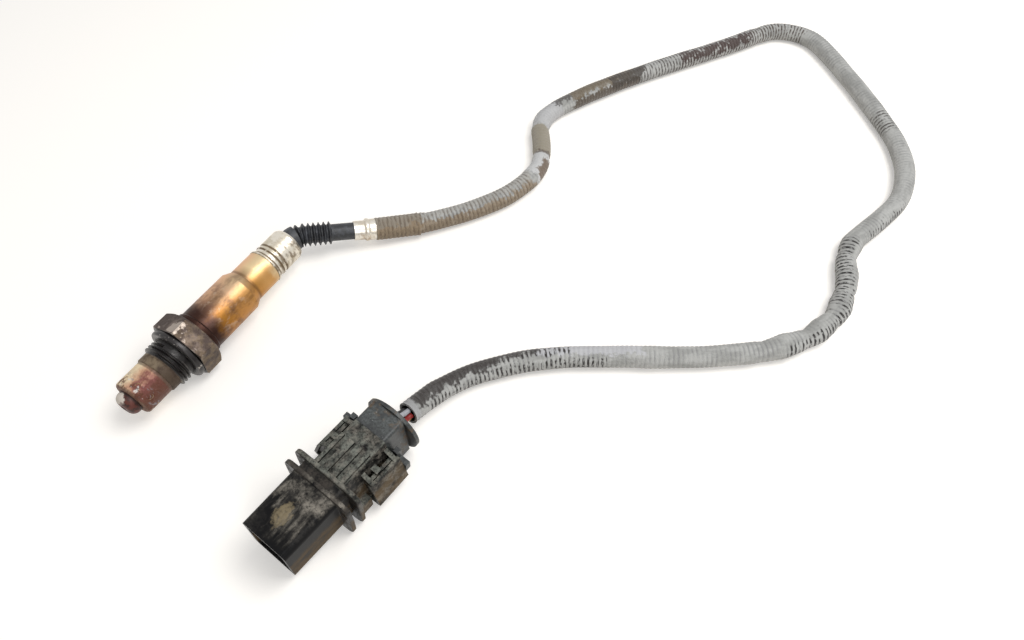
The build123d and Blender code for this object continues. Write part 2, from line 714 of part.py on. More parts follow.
with BuildLine() as wire_line:
    FilletPolyline((CRIMP_REAR, 0, 0), (RELIEF_CORNER, 0, 0), CORD_START, radius=BEND_RADIUS)

for colour, (across, up) in zip(WIRE_COLOURS, WIRE_PLACES):
    with BuildPart() as sensor_wire:
        # the plane at the start of the wire looks along -X, so its side axis is -Y
        with BuildSketch(Plane(origin=(CRIMP_REAR, 0, 0), x_dir=(0, -1, 0), z_dir=(-1, 0, 0))):
            with Locations((-across, up)):
                Circle(WIRE_D / 2)
        sweep(path=wire_line.wire())
    sensor_wire.part.label = f"sensor_wire_{colour}"
    export_step(sensor_wire.part, f"parts/sensor_wire_{colour}.step")

# --------------------------------------------------------------------------------- braided sleeve
cord_radii = easy_radii(CORD_POINTS)
print("cord radii in diameters:", [round(radius / CORD_D, 1) for radius in cord_radii])

with BuildPart() as braided_sleeve:
    with BuildLine() as cord_line:
        FilletPolyline(*CORD_POINTS, radius=cord_radii)
    with BuildSketch(Plane(cord_line.wire().location_at(0))):
        Circle(CORD_D / 2)
    sweep(path=cord_line.wire())
braided_sleeve.part.label = "braided_sleeve"
export_step(braided_sleeve.part, "parts/braided_sleeve.step")

cord_length = cord_line.wire().length
section_volume = pi * CORD_D**2 / 4 * cord_length
print("cord length", round(cord_length, 1), "volume / section x length",
      round(braided_sleeve.part.volume / section_volume, 4))

# ----------------------------------------------------------------------------------- plug housing
MOUTH = Vector(cos(radians(PLUG_YAW)), sin(radians(PLUG_YAW)), 0)
LEVEL_SIDE = Vector(-sin(radians(PLUG_YAW)), cos(radians(PLUG_YAW)), 0)
SIDE = LEVEL_SIDE * cos(radians(PLUG_ROLL)) + Vector(0, 0, 1) * sin(radians(PLUG_ROLL))
PLUG = Plane(origin=PLUG_ORIGIN, x_dir=SIDE, z_dir=MOUTH)
UP = MOUTH.cross(SIDE)
PLUG_MIDDLE = Plane(origin=PLUG_ORIGIN, x_dir=MOUTH, z_dir=SIDE)

REAR_FLANGE_FACE = FLANGE_FACE - FLANGE_THICKNESS - FLANGE_GAP
FLANGES_REAR = REAR_FLANGE_FACE - FLANGE_THICKNESS
CHAMBER_FLOOR = CHAMBER_DEPTH - CORE_REACH
MOUTH_SHRINK = 2 * (MOUTH_REACH - CAVITY_FLOOR) * tan(radians(SHROUD_DRAFT)) + 2 * SHROUD_WALL
MOUTH_CORNER = SHROUD_CORNER - SHROUD_WALL / 2
FRAME_FRONT = CHEEK_LENGTH - CHEEK_REACH - FRAME_SETBACK
TERMINAL_FRONT = CAVITY_FLOOR - TERMINAL_WALL
TERMINAL_REAR = TERMINAL_FRONT - TERMINAL_LENGTH
BARREL_REAR = TERMINAL_REAR - CRIMP_LENGTH
COLUMNS = [(i - (TERMINAL_COLUMNS - 1) / 2) * COLUMN_PITCH for i in range(TERMINAL_COLUMNS)]
TERMINAL_PLACES = [(x, y) for y in (ROW_PITCH / 2, -ROW_PITCH / 2) for x in COLUMNS]
WIRED_PLACES = [TERMINAL_PLACES[i] for i in WIRED_CAVITIES]
SPARE_PLACE = TERMINAL_PLACES[SPARE_CAVITY]


def flange_outline(plane):
    """One flange's face: a rounded rectangle with slightly bulged sides."""
    half_w = FLANGE_WIDTH / 2 - FLANGE_BULGE
    half_h = FLANGE_HEIGHT / 2 - FLANGE_BULGE
    with BuildSketch(plane) as face:
        with BuildLine():
            ThreePointArc((half_w, -half_h), (FLANGE_WIDTH / 2, 0), (half_w, half_h))
            ThreePointArc((half_w, half_h), (0, FLANGE_HEIGHT / 2), (-half_w, half_h))
            ThreePointArc((-half_w, half_h), (-FLANGE_WIDTH / 2, 0), (-half_w, -half_h))
            ThreePointArc((-half_w, -half_h), (0, -FLANGE_HEIGHT / 2), (half_w, -half_h))
        make_face()
        fillet(face.vertices(), FLANGE_CORNER)
    return face.sketch


def body_outline(station, bottom_width, inset=0):
    """The section of the housing's core and of the rear cover, narrower at the top."""
    with BuildSketch(PLUG.offset(station)) as section:
        with BuildLine():
            Polyline(
                (-CORE_TOP_WIDTH / 2, CORE_TOP),
                (CORE_TOP_WIDTH / 2, CORE_TOP),
                (bottom_width / 2, CORE_BOTTOM),
                (-bottom_width / 2, CORE_BOTTOM),
                close=True,
            )
        make_face()
        if inset:
            offset(amount=-inset, kind=Kind.INTERSECTION, mode=Mode.REPLACE)
        fillet(section.vertices(), CORE_ROUND)
    return section.sketch


with BuildPart() as connector_housing:
    # two flanges with a groove between them, their rims eased
    flange_middle = PLUG.origin - UP * FLANGE_DROP
    for face_station in (FLANGE_FACE, REAR_FLANGE_FACE):
        flange_plane = Plane(origin=flange_middle + MOUTH * face_station, x_dir=SIDE, z_dir=MOUTH)
        extrude(flange_outline(flange_plane), amount=-FLANGE_THICKNESS)
    flange_faces = connector_housing.faces().filter_by(lambda face: abs(face.normal_at().dot(MOUTH)) > 0.999)
    fillet(flange_faces.edges(), FLANGE_EDGE)
    # shroud, with its draft
    with BuildSketch(PLUG.offset(CAVITY_FLOOR)):
        RectangleRounded(SHROUD_WIDTH, SHROUD_HEIGHT, SHROUD_CORNER)
    extrude(amount=MOUTH_REACH - CAVITY_FLOOR, taper=SHROUD_DRAFT)
    with BuildSketch(PLUG.offset(CAVITY_FLOOR)):
        RectangleRounded(SHROUD_WIDTH - GROOVE_SHRINK, SHROUD_HEIGHT - GROOVE_SHRINK, SHROUD_CORNER)
    extrude(amount=REAR_FLANGE_FACE - CAVITY_FLOOR)
    # rear core, with ribs on its top
    extrude(body_outline(-CORE_REACH, CORE_BOTTOM_WIDTH), amount=CORE_REACH + FLANGES_REAR)
    for left, right in TOP_RIB_SPANS:
        with BuildSketch(PLUG.offset(FLANGES_REAR)):
            with Locations(((left + right) / 2, CORE_TOP)):
                Rectangle(right - left, 2 * TOP_RIB_HEIGHT)
        extrude(amount=-TOP_RIB_LENGTH)
    # right cheek: outer plate, foot, two end walls and the latch bar; the left one is its mirror image
    core_side = CORE_TOP_WIDTH / 2
    cheek_top_x, latch_top = CHEEK_TOP
    plate_inner_top = (cheek_top_x - CHEEK_WALL, latch_top)
    plate_inner_foot = (CHEEK_FOOT[0] - CHEEK_WALL, CHEEK_FOOT[1])
    with BuildSketch(PLUG.offset(-CHEEK_REACH)):
        with BuildLine():
            Polyline(CHEEK_TOP, CHEEK_FOOT, plate_inner_foot, plate_inner_top, close=True)
        make_face()
    extrude(amount=CHEEK_LENGTH)
    with BuildSketch(PLUG.offset(-CORE_REACH)):
        with BuildLine():
            Polyline(
                CHEEK_FOOT,
                (CHEEK_FOOT[0] - CHEEK_WALL, CHEEK_FOOT[1] - CHEEK_WALL),
                (core_side, CHEEK_FOOT[1] - CHEEK_WALL),
                (core_side, CHEEK_FOOT[1]),
                close=True,
            )
        make_face()
    extrude(amount=CHEEK_LENGTH + CORE_REACH - CHEEK_REACH)
    for wall_rear in (-CORE_REACH, FRAME_FRONT - FRAME_WALL):
        with BuildSketch(PLUG.offset(wall_rear)):
            with BuildLine():
                Polyline(
                    (core_side, latch_top + FRAME_RISE),
                    CHEEK_TOP,
                    CHEEK_FOOT,
                    (core_side, CHEEK_FOOT[1]),
                    close=True,
                )
            make_face()
        extrude(amount=FRAME_WALL)
    with BuildSketch(PLUG.offset(-CORE_REACH)):
        with Locations(((LATCH_SPAN[0] + LATCH_SPAN[1]) / 2, latch_top - LATCH_HEIGHT / 2)):
            Rectangle(LATCH_SPAN[1] - LATCH_SPAN[0], LATCH_HEIGHT)
    extrude(amount=CORE_REACH + FRAME_FRONT)
    with BuildSketch(PLUG.offset(FRAME_FRONT - FRAME_WALL - BRIDGE_SETBACK)):
        with Locations(((core_side + LATCH_SPAN[1]) / 2, latch_top)):
            Rectangle(LATCH_SPAN[1] - core_side, 2 * BRIDGE_RISE)
    extrude(amount=-BRIDGE_LENGTH)
    # heel block behind the lower corner of the rear flange
    with BuildSketch(PLUG.offset(FLANGES_REAR)):
        with Locations(((HEEL_SPAN[0] + HEEL_SPAN[1]) / 2, (HEEL_TOP + CORE_BOTTOM) / 2)):
            Rectangle(HEEL_SPAN[1] - HEEL_SPAN[0], HEEL_TOP - CORE_BOTTOM)
    extrude(amount=-HEEL_LENGTH)
    mirror(about=PLUG_MIDDLE)
    # mouth of the plug
    with BuildSketch(PLUG.offset(MOUTH_REACH)):
        RectangleRounded(SHROUD_WIDTH - MOUTH_SHRINK, SHROUD_HEIGHT - MOUTH_SHRINK, MOUTH_CORNER)
    extrude(amount=CAVITY_FLOOR - MOUTH_REACH, taper=CAVITY_DRAFT, mode=Mode.SUBTRACT)
    # chamber for the wire seal, open to the rear
    with BuildSketch(PLUG.offset(-CORE_REACH)):
        RectangleRounded(CHAMBER_WIDTH, CHAMBER_HEIGHT, CHAMBER_CORNER)
    extrude(amount=CHAMBER_DEPTH, mode=Mode.SUBTRACT)
    # terminal channels, each ending in a slot for its blade
    with BuildSketch(PLUG.offset(CHAMBER_FLOOR)):
        with Locations(*TERMINAL_PLACES):
            Rectangle(TERMINAL_SIZE + 2 * TERMINAL_CLEARANCE, TERMINAL_SIZE + 2 * TERMINAL_CLEARANCE)
    extrude(amount=TERMINAL_FRONT - CHAMBER_FLOOR, mode=Mode.SUBTRACT)
    with BuildSketch(PLUG.offset(TERMINAL_FRONT)):
        with Locations(*TERMINAL_PLACES):
            Rectangle(BLADE_WIDTH + 2 * TERMINAL_CLEARANCE, BLADE_THICKNESS + 2 * TERMINAL_CLEARANCE)
    extrude(amount=TERMINAL_WALL, mode=Mode.SUBTRACT)
connector_housing.part.label = "connector_housing"
export_step(connector_housing.part, "parts/connector_housing.step")

# ------------------------------------------------------------------------- terminals and seals
for number, (across, up) in enumerate(TERMINAL_PLACES, 1):
    with BuildPart() as blade_terminal:
        with BuildSketch(PLUG.offset(TERMINAL_REAR)):
            with Locations((across, up)):
                Rectangle(TERMINAL_SIZE, TERMINAL_SIZE)
        extrude(amount=TERMINAL_LENGTH)
        with BuildSketch(PLUG.offset(TERMINAL_FRONT)):
            with Locations((across, up)):
                Rectangle(BLADE_WIDTH, BLADE_THICKNESS)
        extrude(amount=TERMINAL_WALL + BLADE_REACH)
        with BuildSketch(PLUG.offset(BARREL_REAR)):
            with Locations((across, up)):
                Circle(CRIMP_D / 2)
        extrude(amount=CRIMP_LENGTH)
    blade_terminal.part.label = f"blade_terminal_{number}"
    export_step(blade_terminal.part, f"parts/blade_terminal_{number}.step")

with BuildPart() as interface_seal:
    seal_shrink = MOUTH_SHRINK + 2 * SHEET_MARGIN
    with BuildSketch(PLUG.offset(CAVITY_FLOOR)):
        RectangleRounded(SHROUD_WIDTH - seal_shrink, SHROUD_HEIGHT - seal_shrink, MOUTH_CORNER)
        with Locations(*TERMINAL_PLACES):
            Rectangle(BLADE_WIDTH + 2 * SHEET_MARGIN, BLADE_THICKNESS + 2 * SHEET_MARGIN, mode=Mode.SUBTRACT)
    extrude(amount=SHEET_THICKNESS)
interface_seal.part.label = "interface_seal"
export_step(interface_seal.part, "parts/interface_seal.step")

SEAL_REAR = COVER_COLLAR_LENGTH - CORE_REACH
with BuildPart() as wire_seal:
    body_width = CHAMBER_WIDTH - 2 * SEAL_RIB_HEIGHT
    body_height = CHAMBER_HEIGHT - 2 * SEAL_RIB_HEIGHT
    with BuildSketch(PLUG.offset(SEAL_REAR)):
        RectangleRounded(body_width, body_height, CHAMBER_CORNER - SEAL_RIB_HEIGHT)
    extrude(amount=SEAL_LENGTH)
    for rib_station in (SEAL_REAR, SEAL_REAR + SEAL_LENGTH - SEAL_RIB_WIDTH):
        with BuildSketch(PLUG.offset(rib_station)):
            RectangleRounded(CHAMBER_WIDTH, CHAMBER_HEIGHT, CHAMBER_CORNER)
        extrude(amount=SEAL_RIB_WIDTH)
    with BuildSketch(PLUG.offset(SEAL_REAR)):
        with Locations(*WIRED_PLACES):
            Circle(WIRE_D / 2)
    extrude(amount=SEAL_LENGTH, mode=Mode.SUBTRACT)
wire_seal.part.label = "wire_seal"
export_step(wire_seal.part, "parts/wire_seal.step")

with BuildPart() as trim_resistor:
    with BuildSketch(PLUG.offset(BARREL_REAR)):
        with Locations(SPARE_PLACE):
            Circle(RESISTOR_D / 2)
    extrude(amount=-(BARREL_REAR - SEAL_REAR - SEAL_LENGTH))
trim_resistor.part.label = "trim_resistor"
export_step(trim_resistor.part, "parts/trim_resistor.step")

# ------------------------------------------------------------------------------------- rear cover
COVER_REAR = -CORE_REACH - COVER_LENGTH
DISC_REAR = COVER_REAR - COVER_GROOVE - COVER_DISC_THICKNESS

with BuildPart() as rear_cover:
    extrude(body_outline(COVER_REAR, COVER_BOTTOM_WIDTH), amount=COVER_LENGTH)
    # neck in the groove, then the disc that closes the rear
    extrude(body_outline(COVER_REAR, COVER_BOTTOM_WIDTH, COVER_GROOVE), amount=-COVER_GROOVE)
    with BuildSketch(PLUG.offset(DISC_REAR)):
        with Locations(COVER_DISC_CENTRE):
            Circle(COVER_DISC_D / 2)
    extrude(amount=COVER_DISC_THICKNESS)
    # snap ears behind the cheeks, each with a tab that stands up
    with BuildSketch(PLUG.offset(-CHEEK_REACH - COVER_CLEARANCE)):
        with Locations((0, sum(EAR_SPAN) / 2)):
            Rectangle(2 * EAR_REACH, EAR_SPAN[1] - EAR_SPAN[0])
        tab_height = EAR_TAB_TOP - EAR_SPAN[0]
        for side in (-1, 1):
            with Locations((side * sum(EAR_TAB_SPAN) / 2, EAR_TAB_TOP - tab_height / 2)):
                Rectangle(EAR_TAB_SPAN[1] - EAR_TAB_SPAN[0], tab_height)
    extrude(amount=-EAR_LENGTH)
    # hollow, and the collar that plugs into the housing
    collar_width = CHAMBER_WIDTH - 2 * COVER_CLEARANCE
    collar_height = CHAMBER_HEIGHT - 2 * COVER_CLEARANCE
    collar_bore_width = collar_width - 2 * COVER_COLLAR_WALL
    collar_bore_height = collar_height - 2 * COVER_COLLAR_WALL
    with BuildSketch(PLUG.offset(-CORE_REACH)):
        RectangleRounded(collar_width, collar_height, CHAMBER_CORNER)
    extrude(amount=COVER_COLLAR_LENGTH)
    with BuildSketch(PLUG.offset(COVER_COLLAR_LENGTH - CORE_REACH)):
        RectangleRounded(collar_bore_width, collar_bore_height, CHAMBER_CORNER - COVER_COLLAR_WALL / 2)
    extrude(amount=-COVER_COLLAR_LENGTH - COVER_WALL, mode=Mode.SUBTRACT)
    cover_hollow = body_outline(-CORE_REACH - COVER_WALL, COVER_BOTTOM_WIDTH, COVER_WALL)
    extrude(cover_hollow, amount=COVER_WALL - COVER_LENGTH, mode=Mode.SUBTRACT)
    with BuildSketch(PLUG.offset(DISC_REAR)):
        with Locations(COVER_OPENING_CENTRE):
            Circle(COVER_OPENING_D / 2)
    extrude(amount=COVER_LENGTH, mode=Mode.SUBTRACT)
rear_cover.part.label = "rear_cover"
export_step(rear_cover.part, "parts/rear_cover.step")

# ------------------------------------------------------------------------------ wires at the plug
CORD_END = Vector(*CORD_POINTS[-1])
CORD_END_DIR = (CORD_END - Vector(*CORD_POINTS[-2])).normalized()
END_SIDE = SIDE - CORD_END_DIR * SIDE.dot(CORD_END_DIR)
SLEEVE_MOUTH = Plane(origin=CORD_END, x_dir=END_SIDE, z_dir=CORD_END_DIR)

for colour, start, place in zip(WIRE_COLOURS, WIRE_PLACES, WIRED_PLACES):
    first = SLEEVE_MOUTH.from_local_coords(Vector(start[0], start[1], 0))
    second = first + CORD_END_DIR * WIRE_LEAD_IN
    passing = (
        COVER_OPENING_CENTRE[0] + start[0] * WIRE_SPREAD,
        COVER_OPENING_CENTRE[1] + start[1] * WIRE_SPREAD,
    )
    third = PLUG.offset(DISC_REAR).from_local_coords(Vector(passing[0], passing[1], 0))
    fourth = PLUG.offset(-CORE_REACH - COVER_WALL).from_local_coords(Vector(place[0], place[1], 0))
    last = PLUG.offset(BARREL_REAR).from_local_coords(Vector(place[0], place[1], 0))
    with BuildPart() as plug_wire:
        with BuildLine() as plug_wire_line:
            FilletPolyline(first, second, third, fourth, last, radius=[WIRE_BEND_R, WIRE_BEND_R, 0.5])
        with BuildSketch(Plane(origin=first, z_dir=CORD_END_DIR)):
            Circle(WIRE_D / 2)
        sweep(path=plug_wire_line.wire())
    plug_wire.part.label = f"plug_wire_{colour}"
    export_step(plug_wire.part, f"parts/plug_wire_{colour}.step")
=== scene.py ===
"""Planar wideband oxygen sensor with its braided lead and plug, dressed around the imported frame.

The frame holds every piece at its real size, in metres, with X along the sensor's axis toward the
exhaust and Z up. This script gives each piece its finish and models what the frame keeps plain:
the rolled thread, the deposit in the gas holes, the ribbed bellows and the braided sleeve.
"""

from __future__ import annotations

import json
import logging
import math
from collections.abc import Callable, Iterable, Iterator, Sequence
from contextlib import contextmanager
from dataclasses import dataclass
from enum import Enum

import bpy
from mathutils import Matrix, Vector

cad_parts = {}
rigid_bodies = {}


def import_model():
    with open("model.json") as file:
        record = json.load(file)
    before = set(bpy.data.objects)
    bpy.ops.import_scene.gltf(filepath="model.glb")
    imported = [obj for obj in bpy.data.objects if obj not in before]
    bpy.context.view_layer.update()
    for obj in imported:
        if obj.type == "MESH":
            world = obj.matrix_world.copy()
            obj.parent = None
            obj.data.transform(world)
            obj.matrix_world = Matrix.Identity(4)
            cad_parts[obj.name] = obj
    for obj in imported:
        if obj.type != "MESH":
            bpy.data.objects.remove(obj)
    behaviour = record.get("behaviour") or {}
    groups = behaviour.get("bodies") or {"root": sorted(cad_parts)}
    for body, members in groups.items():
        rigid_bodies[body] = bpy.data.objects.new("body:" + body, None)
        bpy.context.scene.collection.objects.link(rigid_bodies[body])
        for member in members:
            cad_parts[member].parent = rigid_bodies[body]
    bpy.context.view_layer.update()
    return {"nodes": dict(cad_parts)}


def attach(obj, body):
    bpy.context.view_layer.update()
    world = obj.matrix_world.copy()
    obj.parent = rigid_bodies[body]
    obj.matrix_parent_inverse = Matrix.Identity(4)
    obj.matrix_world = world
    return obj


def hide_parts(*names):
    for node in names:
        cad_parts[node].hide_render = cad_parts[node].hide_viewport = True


log = logging.getLogger("oxygen_sensor")

MM = 0.001
FLOOR_Z = -12.578 * MM
BODY = "root"

Colour = tuple[float, float, float, float]
Socket = bpy.types.NodeSocket


class Axis(Enum):
    """The three directions that places on a finish are measured in."""

    X = (1.0, 0.0, 0.0)
    Y = (0.0, 1.0, 0.0)
    Z = (0.0, 0.0, 1.0)


class Side(Enum):
    """A side of the lead as it lies, named as someone looking down at it from the plug's side sees it."""

    UPPER = (-0.7065, -0.4145, 0.5736)
    LOWER = (0.7065, 0.4145, -0.5736)
    LEFT = (0.5060, -0.8625, 0.0)
    RIGHT = (-0.5060, 0.8625, 0.0)
    TOP = (0.4947, 0.2903, 0.8192)


@dataclass(frozen=True)
class Pose:
    """Where a piece lies: its middle in millimetres, then its turn about Z and its roll in degrees."""

    middle: tuple[float, float, float] = (0.0, 0.0, 0.0)
    yaw: float = 0.0
    roll: float = 0.0

    def turn(self) -> Matrix:
        """The rotation from the piece's own directions to the row's."""
        yaw, roll = math.radians(self.yaw), math.radians(self.roll)
        return Matrix.Rotation(yaw, 3, "Z") @ Matrix.Rotation(roll, 3, "X")


TABLE = Pose()
# the plug's own directions are X out of its mouth, Y to its side and Z up
PLUG = Pose((14.385, 79.282, 1.027), -6.8, -6.0)


class Insulation(Enum):
    """The five wires by the colour of their insulation, with that colour in sRGB."""

    GREY = "#a9aab0"
    RED = "#8d2320"
    YELLOW = "#d9d15a"
    WHITE = "#dadce2"
    BLACK = "#17171a"


# ------------------------------------------------------------------------------- small helpers
def linear(hex_colour: str) -> Colour:
    """Turns an sRGB hex value into the linear colour that a shader takes.

    Args:
        hex_colour: the colour as "#rrggbb".

    Returns:
        Linear red, green, blue and an alpha of one.
    """
    channels = [int(hex_colour[i : i + 2], 16) / 255 for i in (1, 3, 5)]
    r, g, b = (c / 12.92 if c <= 0.04045 else ((c + 0.055) / 1.055) ** 2.4 for c in channels)
    return (r, g, b, 1.0)


def add_node(tree: bpy.types.NodeTree, kind: str, inputs: dict[str | int, object] | None = None,
             **settings: object) -> bpy.types.Node:
    """Adds one node with its settings, input values and links.

    Args:
        tree: the node tree that the node joins.
        kind: Blender's name for the node.
        inputs: socket name or index to a value, or to the output that feeds it.
        settings: the node's own properties.

    Returns:
        The new node.
    """
    node = tree.nodes.new(kind)
    for name, value in settings.items():
        setattr(node, name, value)
    for socket, value in (inputs or {}).items():
        if isinstance(value, bpy.types.NodeSocket):
            tree.links.new(value, node.inputs[socket])
        else:
            node.inputs[socket].default_value = value
    return node


def only(piece: bpy.types.Object) -> None:
    """Selects this piece alone and makes it the active one.

    Args:
        piece: the piece to select.
    """
    bpy.ops.object.select_all(action="DESELECT")
    piece.select_set(True)
    bpy.context.view_layer.objects.active = piece


@contextmanager
def edit_mode(piece: bpy.types.Object) -> Iterator[None]:
    """Opens a piece in edit mode with nothing selected, and closes it again.

    Args:
        piece: the piece to work on.

    Yields:
        Nothing: the mesh operators act on the piece meanwhile.
    """
    only(piece)
    bpy.ops.object.mode_set(mode="EDIT")
    bpy.ops.mesh.select_all(action="DESELECT")
    yield
    bpy.ops.object.mode_set(mode="OBJECT")


def face_outward() -> None:
    """Selects the whole mesh that is open in edit mode and points its faces outward."""
    bpy.ops.mesh.select_all(action="SELECT")
    bpy.ops.mesh.normals_make_consistent(inside=False)


def apply_modifier(piece: bpy.types.Object, kind: str, **settings: object) -> None:
    """Adds a modifier to a piece and applies it.

    Args:
        piece: the piece to change.
        kind: Blender's name for the modifier.
        settings: the modifier's own properties.
    """
    only(piece)
    modifier = piece.modifiers.new(kind.lower(), kind)
    for name, value in settings.items():
        setattr(modifier, name, value)
    bpy.ops.object.modifier_apply(modifier=modifier.name)


def combine(piece: bpy.types.Object, other: bpy.types.Object, operation: str) -> None:
    """Joins, cuts or intersects a piece with another closed mesh, which is used up.

    Args:
        piece: the piece that keeps the result.
        other: the tool mesh.
        operation: UNION, DIFFERENCE or INTERSECT.
    """
    apply_modifier(piece, "BOOLEAN", operation=operation, solver="EXACT", object=other)
    bpy.data.objects.remove(other, do_unlink=True)


def join(piece: bpy.types.Object, others: Iterable[bpy.types.Object]) -> None:
    """Makes other pieces part of this one, with their surfaces as they are.

    Args:
        piece: the piece that keeps the result.
        others: the pieces that are used up.
    """
    only(piece)
    for other in others:
        other.select_set(True)
    bpy.ops.object.join()


def smooth(piece: bpy.types.Object, angle: float = 32.0) -> None:
    """Shades a piece smooth, with edges sharper than an angle in degrees kept crisp."""
    only(piece)
    bpy.ops.object.shade_smooth_by_angle(angle=math.radians(angle))


def turned(name: str, outline: Sequence[tuple[float, float]], segments: int) -> bpy.types.Object:
    """Turns a solid piece on the sensor's axis by extruding a ring through its outline.

    Args:
        name: the piece's name.
        outline: (station, radius) corners in millimetres, in order along the wall.
        segments: edges round the ring.

    Returns:
        The closed mesh, at the origin.
    """
    bpy.ops.object.select_all(action="DESELECT")
    start, radius = outline[0]
    bpy.ops.mesh.primitive_circle_add(
        vertices=segments, radius=radius * MM, location=(start * MM, 0, 0), rotation=(0, math.pi / 2, 0)
    )
    piece = bpy.context.object
    piece.name = name
    bpy.ops.object.transform_apply(location=True, rotation=True, scale=True)
    with edit_mode(piece):
        bpy.ops.mesh.select_all(action="SELECT")
        for (x_here, r_here), (x_next, r_next) in zip(outline, outline[1:]):
            step = ((x_next - x_here) * MM, 0, 0)
            bpy.ops.mesh.extrude_region_move(TRANSFORM_OT_translate={"value": step})
            grow = r_next / r_here
            bpy.ops.transform.resize(value=(1, grow, grow), center_override=(x_next * MM, 0, 0))
        bpy.ops.mesh.select_all(action="DESELECT")
        bpy.ops.mesh.select_non_manifold()
        bpy.ops.mesh.fill_holes(sides=0)
        face_outward()
    return piece


def centreline(name: str, points: Iterable[Sequence[float]], resolution: int = 24) -> list[Vector]:
    """Reads the smooth line of an order-3 NURBS spline through its control points.

    Args:
        name: a name for the working curve.
        points: control points in metres.
        resolution: steps for each span.

    Returns:
        The points of the spline's own line.
    """
    curve = bpy.data.curves.new(name, "CURVE")
    curve.dimensions = "3D"
    curve.resolution_u = resolution
    spline = curve.splines.new("NURBS")
    points = [Vector(point) for point in points]
    spline.points.add(len(points) - 1)
    for control, point in zip(spline.points, points):
        control.co = (*point, 1.0)
    spline.order_u = 3
    spline.use_endpoint_u = True
    carrier = bpy.data.objects.new(name, curve)
    bpy.context.collection.objects.link(carrier)
    mesh = bpy.data.meshes.new_from_object(carrier)
    line = [vertex.co.copy() for vertex in mesh.vertices]
    bpy.data.objects.remove(carrier, do_unlink=True)
    bpy.data.meshes.remove(mesh)
    bpy.data.curves.remove(curve)
    return line


def evenly(line: Sequence[Vector], step: float) -> list[Vector]:
    """Divides a line into equal steps.

    Args:
        line: the points of a fine line.
        step: the wished distance between points, in metres.

    Returns:
        Points from the line's start to its end, all the same distance apart.
    """
    travelled = [0.0]
    for here, there in zip(line, line[1:]):
        travelled.append(travelled[-1] + (there - here).length)
    count = round(travelled[-1] / step)
    even, i = [], 0
    for k in range(count + 1):
        wanted = travelled[-1] * k / count
        while i < len(travelled) - 2 and travelled[i + 1] < wanted:
            i += 1
        share = (wanted - travelled[i]) / (travelled[i + 1] - travelled[i])
        even.append(line[i].lerp(line[i + 1], share))
    return even


def swept(name: str, line: Sequence[Vector], radius: Callable[[float, float], float],
          around: int) -> bpy.types.Object:
    """Sweeps a ring of varying radius along a line, with the piece's own UV map.

    Args:
        name: the piece's name.
        line: evenly spaced points, in metres.
        radius: gives the radius in metres at (millimetres along, angle round).
        around: vertices in each ring.

    Returns:
        The closed tube. Its UV map holds the turn, 0 to 1, and the metres along.
    """
    tangents = [(b - a).normalized() for a, b in zip(line, line[1:])]
    tangents = [tangents[0], *((a + b).normalized() for a, b in zip(tangents, tangents[1:])), tangents[-1]]
    side = tangents[0].cross(Vector((0, 0, 1))).normalized()
    vertices, faces, rows = [], [], [0.0]
    for i, (point, tangent) in enumerate(zip(line, tangents)):
        if i:
            side = (side - tangent * side.dot(tangent)).normalized()
            rows.append(rows[-1] + (point - line[i - 1]).length)
        up = side.cross(tangent)
        for j in range(around):
            angle = 2 * math.pi * j / around
            r = radius(rows[-1] / MM, angle)
            vertices.append(point + side * (r * math.cos(angle)) + up * (r * math.sin(angle)))
    last = len(line) - 1
    for i in range(last):
        for j in range(around):
            k = (j + 1) % around
            faces.append((i * around + j, (i + 1) * around + j, (i + 1) * around + k, i * around + k))
    faces.append(tuple(range(around)))
    faces.append(tuple(last * around + j for j in reversed(range(around))))
    mesh = bpy.data.meshes.new(name)
    mesh.from_pydata(vertices, [], faces)
    layer = mesh.uv_layers.new(name="along")
    for face in mesh.polygons[: last * around]:
        for loop in face.loop_indices:
            vertex = mesh.loops[loop].vertex_index
            turn = vertex % around
            if turn == 0 and face.index % around == around - 1:
                turn = around
            layer.data[loop].uv = (turn / around, rows[vertex // around])
    piece = bpy.data.objects.new(name, mesh)
    bpy.context.collection.objects.link(piece)
    with edit_mode(piece):
        face_outward()
    return piece


def dress(piece: bpy.types.Object, material: bpy.types.Material) -> None:
    """Gives a piece one finish all over."""
    piece.data.materials.clear()
    piece.data.materials.append(material)


